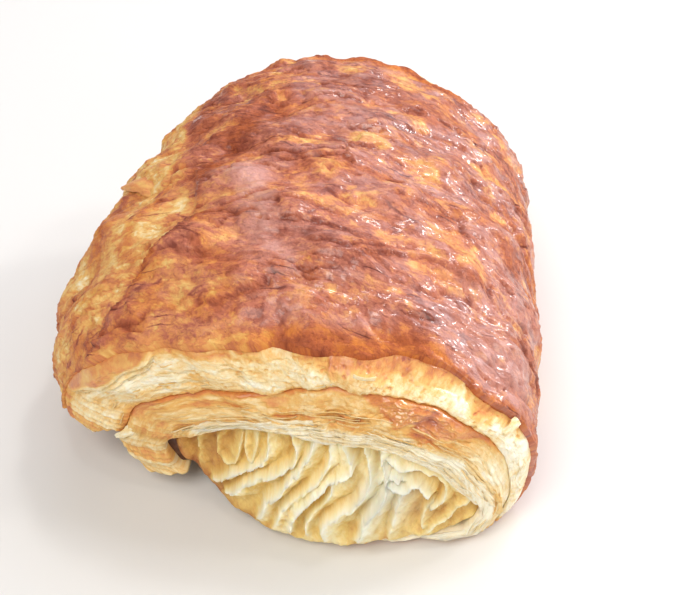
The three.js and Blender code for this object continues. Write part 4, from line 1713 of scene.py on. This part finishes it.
@dataclass
class PleatedCore(DoughPiece):
    """The pleated middle of the roll, which bulges out under the second wrap's lip."""

    near: EndFrame
    frame: EndFrame
    noise: DoughNoise
    leaves: tuple[Fold, ...]
    rows: int
    front_columns: int
    middle_stand_out: float = 10.0
    back_columns: int = 8
    back_stand_out: float = -2.2
    leaf_depth: float = 4.2
    edge_width: float = 0.42
    edge_tears: float = 0.34
    open_gap: float = 4.5
    hollow_power: float = 1.3
    rim_round: float = 1.6
    half_widths: Pair = (27.0, 25.5)
    dome_start: float = 4.0
    dome_height: float = 20.0
    edge_stand_out: float = 4.0
    left_edge_drop: float = 3.0
    # Where the leaves rise from the core's left and fall to its right
    free_left: Pair = (-17.7, -15.0)
    free_right: Pair = (35.4, 37.6)
    # The spot of raw dough, whose sheen is partly a painted highlight, the spot of painted shade in the deep hollow at
    # the right and the spot of pale dough, as X and Z, and their sizes
    raw_place: Pair = (21.5, 14.0)
    raw_size: Pair = (5.5, 7.0)
    painted_shade_place: Pair = (30.0, 10.0)
    painted_shade_size: Pair = (5.0, 6.0)
    pale_place: Pair = (20.5, 16.0)
    pale_size: Pair = (4.0, 6.0)
    top: Places = (
        (-17.7, 12.4), (-15.6, 15.6), (-11.7, 18.4), (-2.0, 23.8), (6.5, 25.8), (15.0, 25.8), (20.0, 25.0),
        (26.5, 21.5), (31.5, 17.0), (35.8, 11.5), (37.6, 8.0),
    )
    bottom: Places = (
        (-17.7, 10.6), (-16.1, 8.2), (-14.4, 6.2), (-10.3, 4.2), (-6.5, 3.0), (-1.0, 1.8), (8.0, 0.8),
        (12.0, 1.0), (22.0, 1.8), (30.0, 2.8), (35.6, 4.4), (37.6, 6.0),
    )

    def smooth_front(self, x: Values, z: Values) -> Values:
        """How far the core stands out without its leaves."""
        left_half, right_half = self.half_widths
        off_x, off_z = x - self.frame.middle[0], np.maximum(z - self.dome_start, 0.0)
        edge = self.edge_stand_out - self.left_edge_drop * np.clip(-off_x / left_half, 0.0, 1.0)
        near = 1.0 - (off_x / np.where(off_x < 0, left_half, right_half)) ** 2 - (off_z / self.dome_height) ** 2
        return edge + (self.middle_stand_out - edge) * np.clip(near, 0.0, 1.0)

    def leaf_height(self, x: Values, z: Values) -> tuple[Values, Values]:
        """How far the leaves stand out: each falls away softly on one side and steeply on the other.

        Args:
            x: Places across the core.
            z: Places up it.

        Returns:
            Height from 0 in a hollow to about 1 on an edge, and how near an edge is, from 0 to 1.
        """
        noise = self.noise
        x = x + 0.5 * noise.at(x / 4.2, z / 4.2, layer=30.5) + 0.2 * noise.at(x / 1.3, z / 1.3, layer=31.5)
        x = x + 0.28 * noise.at(x / 2.3, z / 2.3, layer=32.5)
        z = z + 0.5 * noise.at(x / 4.2, z / 4.2, layer=40.5)
        soft_gap, steep_gap = np.full_like(x, self.open_gap), np.full_like(x, self.open_gap)
        top, crest = np.full_like(x, 0.6), np.zeros_like(x)
        for leaf in self.leaves:
            path = leaf.path()
            gap, side = np.full_like(x, 1e9), np.zeros_like(x)
            for start, stop in zip(path[:-1], path[1:]):
                step = stop - start
                off_x, off_z = x - start[0], z - start[1]
                share = np.clip((off_x * step[0] + off_z * step[1]) / (step @ step), 0.0, 1.0)
                here = np.hypot(off_x - share * step[0], off_z - share * step[1])
                closer = here < gap
                gap = np.where(closer, here, gap)
                side = np.where(closer, step[0] * off_z - step[1] * off_x, side)
            steep = side < 0 if leaf.steep_left else side > 0
            nearer = ~steep & (gap < soft_gap)
            soft_gap, top = np.where(nearer, gap, soft_gap), np.where(nearer, leaf.height, top)
            steep_gap = np.where(steep & (gap < steep_gap), gap, steep_gap)
            crest = np.maximum(crest, leaf.height * np.exp(-gap / self.edge_width))
        slope = top * (steep_gap / (steep_gap + soft_gap + 0.05)) ** self.hollow_power
        torn = 1.0 - self.edge_tears * np.clip(noise.rough(x / 1.5, z / 1.5, layer=33.5, octaves=3) - 0.05, 0.0, 0.5)
        return np.maximum(slope, crest) * torn, np.clip(crest, 0.0, 1.0)

    def shape(self, column: Values, row: Values) -> Surface:
        """The core's points and marks.

        Args:
            column: Share of the columns at each vertex.
            row: Number of the row at each vertex.

        Returns:
            The surface.
        """
        noise = self.noise
        total = self.front_columns + self.back_columns
        index = np.rint(column * total).astype(np.int64)
        closing = (row == 0) | (row == self.rows + 1)
        along = np.clip((row - 1) / (self.rows - 1), 0.0, 1.0)
        x = mix(self.top[0][0], self.top[-1][0], along)
        top, bottom = np.interp(x, *np.array(self.top).T), np.interp(x, *np.array(self.bottom).T)
        front = index < self.front_columns
        up = index / (self.front_columns - 1)
        down = 1.0 - (index - self.front_columns + 1) / (self.back_columns + 1)
        height = np.where(closing, 0.5, np.where(front, up, down))
        z = mix(bottom, top, height)
        ridge, crest = self.leaf_height(x, z)
        free = smooth_step(z - bottom, 0.4, 6.5) * smooth_step(x, *self.free_left) * smooth_fall(x, *self.free_right)
        slant = noise.rough((x - 0.7 * z) / 2.1, (z + 0.7 * x) / 9, layer=41.5, octaves=3)
        rim_gap = np.minimum(z - bottom, np.minimum(x - self.top[0][0], self.top[-1][0] - x))
        rounding = self.rim_round * np.clip(1.0 - rim_gap / self.rim_round, 0.0, 1.0) ** 2
        crinkle = noise.rough(x / 1.6, z / 2.2, layer=45.5, octaves=2) * smooth_fall(z - bottom, 3.0, 9.0)
        wrinkle = noise.rough(x / 1.3, z / 1.7, layer=46.5, octaves=3)
        relief = free * (self.leaf_depth * (ridge - 0.6) + 0.18 * slant + 0.2 * wrinkle) + 0.35 * crinkle - rounding
        stand_out = self.smooth_front(x, z) + relief
        stand_out = np.where(front & ~closing, stand_out, self.back_stand_out)
        stand_out = np.where(closing, 0.5 * (self.back_stand_out + self.smooth_front(x, z) - self.rim_round), stand_out)
        direction, reach = self.near.polar(x, z)
        reach = reach * self.frame.crust_reach(direction) / self.near.crust_reach(direction)
        points = self.frame.place(direction, reach, stand_out)
        patch = noise.rough(x / 5.0, z / 4.0, layer=47.5, octaves=3)
        raw = round_spot(x, z, self.raw_place, self.raw_size)
        # A spot of painted shade in the deep hollow at the right, kept off the leaf edges.
        painted_shade = round_spot(x, z, self.painted_shade_place, self.painted_shade_size) * (1.0 - crest)
        pale = round_spot(x, z, self.pale_place, self.pale_size)
        # Paler up the leaves and on their edges and darker in the hollows and crinkles: partly the dough's own tone,
        # partly painted shade.
        bake = 0.37 - 0.3 * np.clip(ridge, 0.0, 1.0) - 0.14 * crest + 0.04 * slant - 0.05 * crinkle - 0.05 * wrinkle
        bake = bake + 0.08 * patch + 0.2 * painted_shade
        bake = bake + 0.18 * smooth_fall(z - bottom, 0.8, 4.0) * smooth_step(-x, -8.0, 2.0)
        bake = bake + 0.17 * smooth_step(-x, 1.0, 9.0) * (1.0 - crest) - 0.14 * pale
        # Darker near the top, under the second wrap's lip: painted shade.
        bake = bake + 0.06 * smooth_step(z - top, -5.0, -1.0)
        rim = smooth_fall(z - bottom, 0.2, 0.8)
        bake = mix(bake, 0.32 + 0.08 * noise.at(x / 2.5, z, layer=42.5), 0.8 * rim)
        # The grey-white sheen on the raw spot is the raw dough's tone and, stronger on the leaf edges, a painted
        # highlight.
        sheen = np.clip(raw * (0.45 + 0.5 * crest + 0.3 * patch), 0.0, 0.9)
        marks = {"bake": bake, "gloss": 0.04 + 0.3 * raw * crest, "sheen": sheen}
        return Surface(points, marks, (z - 0.7 * x, x + 0.7 * z))

    def build(self) -> Piece:
        """Makes the core from a grid that closes round it and comes to a point at its left and right."""
        name = f"{self.frame.end.name.lower()}_core"
        return shaped_grid(name, self.front_columns + self.back_columns, self.rows + 1, self.shape)


EMERGE_LINE = (
    (38.5, 1.0), (41.4, 4.5), (42.4, 10.0), (40.8, 17.0), (36.5, 24.5), (27.6, 31.0), (19.2, 33.3),
    (11.1, 34.0), (2.8, 31.6), (-7.4, 29.9), (-14.9, 27.0), (-23.5, 22.0), (-25.6, 15.0), (-26.0, 9.0),
    (-25.6, 4.2), (-20.0, 2.8), (-8.0, 0.9), (2.0, 0.0), (25.0, 0.0), (33.0, 0.0),
)

LIP_LINE = (
    (30.0, 3.2), (35.6, 4.9), (37.6, 7.6), (36.4, 11.0), (31.6, 15.8), (26.5, 20.5), (19.8, 24.0),
    (14.9, 24.6), (6.5, 24.8), (-2.1, 22.8), (-11.7, 17.4), (-17.0, 15.6), (-18.9, 12.6), (-18.4, 9.5),
    (-17.3, 6.8), (-16.6, 5.5), (-14.0, 5.2), (0.0, 1.6), (12.0, 1.6), (22.0, 2.2),
)


@dataclass
class InnerDough(DoughPiece):
    """The dough inside the crust, which shows only in the gaps beside the wraps' tails."""

    form: RollForm
    noise: DoughNoise
    columns: int = 140
    face_rows: int = 16
    wall_rows: int = 10
    near_face: float = -0.66
    far_face: float = 0.72
    under_crust: float = 1.2
    middle: Pair = END_MIDDLE
    lump_height: float = 0.8
    bake_level: float = 0.32

    def shape(self, column: Values, row: Values) -> Surface:
        """The body's points and marks.

        Args:
            column: Share of the columns at each vertex.
            row: Number of the row at each vertex, from the middle of the near face to the middle of the far one.

        Returns:
            The surface.
        """
        out = np.linspace(0.0, 1.0, self.face_rows)
        walls = np.linspace(self.near_face, self.far_face, self.wall_rows + 2)[1:-1]
        faces = np.ones(self.face_rows)
        reach = np.concatenate([out, 1.0 + 0.0 * walls, out[::-1]])[row]
        along = np.concatenate([self.near_face * faces, walls, self.far_face * faces])[row]
        rim = self.form.crust(column * FULL_TURN, along, -self.under_crust)
        crown = self.form.crust(np.full_like(along, math.pi / 2), along, -self.under_crust)
        x, z = mix(self.middle[0], rim[:, 0], reach), mix(self.middle[1], rim[:, 2], reach)
        lumps = self.noise.rough(x / 6, z / 3, layer=68.5, octaves=3)
        y = mix(crown[:, 1], rim[:, 1], reach) + self.lump_height * lumps * (reach < 1.0)
        marks = {"bake": self.bake_level + 0.1 * lumps, "gloss": 0.0 * lumps}
        return Surface(np.stack([x, y, z], axis=-1), marks, (x, z))

    def build(self) -> Piece:
        """Makes the body from a grid that closes at the middle of both faces."""
        return shaped_grid("inner_dough", self.columns, 2 * self.face_rows + self.wall_rows - 1, self.shape)


@dataclass
class ChocolateBaton:
    """The baton that runs through the roll, a little behind the dough at both ends."""

    width: float = 8.0
    thickness: float = 4.4
    length: float = 72.0
    corner: float = 1.2
    lean: float = math.radians(26.0)
    near_end: Triple = (-18.3, -38.8, 9.5)

    def build(self) -> Piece:
        """Makes the baton from a cube.

        Returns:
            The piece.
        """
        bpy.ops.object.select_all(action="DESELECT")
        bpy.ops.mesh.primitive_cube_add(size=1.0)
        piece = bpy.context.object
        piece.name = piece.data.name = "baton"
        bpy.ops.object.mode_set(mode="EDIT")
        bpy.ops.mesh.select_all(action="SELECT")
        bpy.ops.transform.resize(value=(self.thickness * MM, self.length * MM, self.width * MM))
        bpy.ops.mesh.bevel(offset=self.corner * MM, segments=4, affect="EDGES")
        bpy.ops.mesh.subdivide(number_cuts=3)
        bpy.ops.object.mode_set(mode="OBJECT")
        x, y, z = self.near_end
        place = Matrix.Translation(Vector((x, y + self.length / 2, z)) * MM) @ Matrix.Rotation(-self.lean, 4, "Y")
        piece.data.transform(place)
        bpy.ops.object.shade_smooth_by_angle(angle=math.radians(40.0))
        return piece

    def dress(self, piece: Piece) -> None:
        """Gives the baton its chocolate."""
        hand_over(piece, ChocolateFinish().material(), "chocolate_baton")


@dataclass
class Studio:
    """The pale floor, the soft lights and the camera at the photograph's angle."""

    azimuth: float = math.radians(7.0)
    elevation: float = math.radians(42.0)
    focal_pixels: float = 1150.0
    target: Triple = (8.7, -4.75, 19.0)
    distance: float = 225.0
    floor_size: float = 4.0
    aim: Triple = (0.0, 0.0, 0.02)
    sensor_width: float = 36.0
    nearest_view: float = 0.01
    room_tint: tuple[float, float, float, float] = (0.9, 0.93, 1.0, 1.0)
    room_strength: float = 0.2
    # Each light's name, place in metres, side of its square in metres, watts and tint
    lights: tuple[tuple[str, Triple, float, float, Triple], ...] = (
        ("window", (0.68, 0.36, 0.44), 0.1, 1.5, LAMP_WHITE),
        ("side_sky", (0.68, 0.36, 0.42), 0.7, 3.4, (0.9, 0.92, 1.0)),
        ("lamp", (0.62, 0.08, 0.6), 0.08, 0.8, LAMP_WHITE),
        ("near_lamp", (0.3, -0.72, 0.5), 0.06, 0.3, LAMP_WHITE),
        ("top_lamp", (0.02, -0.1, 1.0), 0.06, 0.5, LAMP_WHITE),
        ("crown_lamp", (0.26, 0.4, 0.9), 0.12, 1.6, LAMP_WHITE),
        ("sky", (0.15, 0.75, 0.8), 1.1, 5.4, (0.9, 0.9, 1.0)),
        ("front", (-0.3, -0.62, 1.0), 0.7, 8.9, (1.0, 0.97, 0.93)),
        ("fill", (0.6, -0.5, 0.3), 0.4, 1.2, (1.0, 0.98, 0.95)),
    )

    def build_floor(self) -> None:
        """Lays the floor under the part."""
        bpy.ops.object.select_all(action="DESELECT")
        bpy.ops.mesh.primitive_plane_add(size=self.floor_size)
        floor = bpy.context.object
        floor.name = "floor"
        floor.data.materials.append(TableFinish().material())

    def add_light(
        self, name: str, place: Triple, size: float, power: float, tint: Triple
    ) -> None:
        """Adds one soft light that faces the part.

        Args:
            name: The light's name.
            place: Where it stands, in metres.
            size: Side of its square, in metres.
            power: Watts.
            tint: Its colour.
        """
        light = bpy.data.lights.new(name, "AREA")
        light.shape, light.size, light.energy, light.color = "SQUARE", size, power, tint
        lamp = bpy.data.objects.new(name, light)
        bpy.context.scene.collection.objects.link(lamp)
        lamp.location = place
        lamp.rotation_mode = "QUATERNION"
        aim = Vector(self.aim) - Vector(place)
        lamp.rotation_quaternion = aim.to_track_quat("-Z", "Y")

    def build_lights(self) -> None:
        """Sets the lights and the even light of the room."""
        for light in self.lights:
            self.add_light(*light)
        world = bpy.data.worlds.new("room")
        bpy.context.scene.world = world
        world.use_nodes = True
        world.node_tree.nodes["Background"].inputs["Color"].default_value = self.room_tint
        world.node_tree.nodes["Background"].inputs["Strength"].default_value = self.room_strength

    def build_camera(self) -> None:
        """Sets the camera where the photograph was taken from."""
        data = bpy.data.cameras.new("camera")
        data.sensor_width = self.sensor_width
        data.lens = data.sensor_width * self.focal_pixels / PHOTO_WIDTH
        data.clip_start = self.nearest_view
        camera = bpy.data.objects.new("camera", data)
        bpy.context.scene.collection.objects.link(camera)
        flat = math.cos(self.elevation)
        back = Vector((math.sin(self.azimuth) * flat, -math.cos(self.azimuth) * flat, math.sin(self.elevation)))
        camera.location = (Vector(self.target) + back * self.distance) * MM
        camera.rotation_mode = "QUATERNION"
        camera.rotation_quaternion = (-back).to_track_quat("-Z", "Y")
        bpy.context.scene.camera = camera
        bpy.context.scene.view_settings.view_transform = "Standard"


@dataclass(frozen=True)
class EndPlan:
    """What differs between the ends: noise, fineness of the meshes, and how far the turns and the core stand out."""

    seed: int
    fineness: float
    band_out: float
    second_out: float
    core_out: float
    mirrored: bool


END_PLANS = {
    RollEnd.NEAR: EndPlan(seed=20, fineness=1.0, band_out=2.4, second_out=6.2, core_out=10.0, mirrored=False),
    RollEnd.FAR: EndPlan(seed=31, fineness=0.5, band_out=1.8, second_out=4.6, core_out=7.4, mirrored=True),
}
RIM_SHARE = 0.985
LEAF_SEED, FLAKE_SEED = 70, 44


def build_end(form: RollForm, end: RollEnd) -> None:
    """Builds and dresses the wraps and the core of one end.

    Args:
        form: The roll's form.
        end: Which end it is.
    """
    plan = END_PLANS[end]
    noise, fine, out = DoughNoise(plan.seed), plan.fineness, plan.band_out
    near, here = EndFrame(form, RollEnd.NEAR), EndFrame(form, end)
    leaves = tuple(leaf.mirrored(near.middle[0]) for leaf in LEAVES) if plan.mirrored else LEAVES
    rim_x = near.middle[0] + RIM_SHARE * near.reaches * np.cos(near.table)
    rim_z = near.middle[1] + RIM_SHARE * near.reaches * np.sin(near.table)
    rim = EndLine(near, tuple(zip(rim_x, rim_z)), 1.0)
    emerge, lip = EndLine(near, EMERGE_LINE), EndLine(near, LIP_LINE, 3.0)
    outer = OuterWrap(
        here,
        noise,
        outer=rim,
        inner=emerge,
        rows=int(540 * fine),
        face_columns=int(84 * fine),
        start=(0.0, 0.0, 0.0),
        stop=(out - 0.4, out, out),
        tail_slant=math.radians(-7.0),
        wall_columns=20,
        depth=8.0,
        way_radius=34.0,
        form=form,
    )
    outer.dress(outer.build("outer_wrap"), BAND.at_end(end))
    second = SecondWrap(
        here,
        noise,
        outer=emerge,
        inner=lip,
        rows=int(600 * fine),
        face_columns=int(100 * fine),
        start=(out - 0.5, out - 0.1, out - 0.1),
        stop=(2.0, plan.second_out, plan.second_out - 0.2),
        first=math.radians(-95.0),
        last=math.radians(192.5),
        inner_round=0.8,
        layer_pitch=0.8,
        way_radius=27.0,
    )
    second.dress(second.build("second_wrap"), LAYERS.at_end(end))
    # Each kind of leaf: its name, wrap and count, and the ranges of share, degrees, length, width and bake
    kinds = (
        ("band_leaves", outer, 14, (0.2, 0.98), (75.0, 174.0), (1.5, 4.0), (0.3, 0.5), (0.1, 0.24)),
        ("layer_leaves", second, 40, (0.3, 0.7), (-20.0, 160.0), (3.0, 9.0), (0.3, 0.6), (0.14, 0.28)),
        ("fringe_leaves", second, 90, (0.66, 1.0), (-30.0, 165.0), (3.0, 10.0), (0.4, 1.0), (0.0, 0.12)),
    )
    for number, (name, wrap, count, *ranges) in enumerate(kinds):
        thin_leaves = ThinLeaves(wrap, LEAF_SEED + number, int(count * fine), *ranges)
        thin_leaves.dress(thin_leaves.build(name), LAYERS.at_end(end))
    core = PleatedCore(near, here, noise, leaves, int(300 * fine), int(170 * fine), plan.core_out)
    core.dress(core.build(), CRUMB.at_end(end))


def build_loose_flakes() -> None:
    """Builds and dresses the flakes that have come loose at the left wall, the right end of the lip and the tail."""
    noise = DoughNoise(FLAKE_SEED)
    flakes = {
        "wall_flake": LooseFlake(
            noise,
            base=(-26.6, -0.4, 39.4), tip=(-36.0, 3.0, 36.0), outward=(-0.7, 0.0, 0.7),
            width=6.0, arch=1.2, bake_level=0.42, taper=0.95,
        ),
        "lip_flake": LooseFlake(
            noise,
            base=(42.2, -38.6, 25.2), tip=(39.8, -41.2, 24.4), outward=(0.3, -0.7, 0.6),
            width=1.6, arch=0.3, bake_level=0.12, taper=0.3, thickness=0.2,
        ),
        "tail_flake": LooseFlake(
            noise,
            base=(-24.4, -40.6, 16.2), tip=(-28.2, -40.6, 13.4), outward=(-0.1, -0.9, 0.3),
            width=1.8, arch=0.3, bake_level=0.1, taper=0.5, thickness=0.2,
        ),
    }
    for name, flake in flakes.items():
        flake.dress(flake.build(name), FLAKE)


def main() -> None:
    """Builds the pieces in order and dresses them."""
    logging.basicConfig(level=logging.INFO, format="%(message)s")
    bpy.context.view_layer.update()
    form = RollForm()
    crust = CrustDome(form, DoughNoise(20))
    crust.dress(crust.build(), GLAZED_CRUST)
    build_end(form, RollEnd.NEAR)
    build_end(form, RollEnd.FAR)
    inner = InnerDough(form, DoughNoise(20))
    inner.dress(inner.build(), INNER_CRUMB)
    build_loose_flakes()
    baton = ChocolateBaton()
    baton.dress(baton.build())
    studio = Studio()
    studio.build_floor()
    studio.build_lights()
    studio.build_camera()


if __name__ == "__main__":
    main()
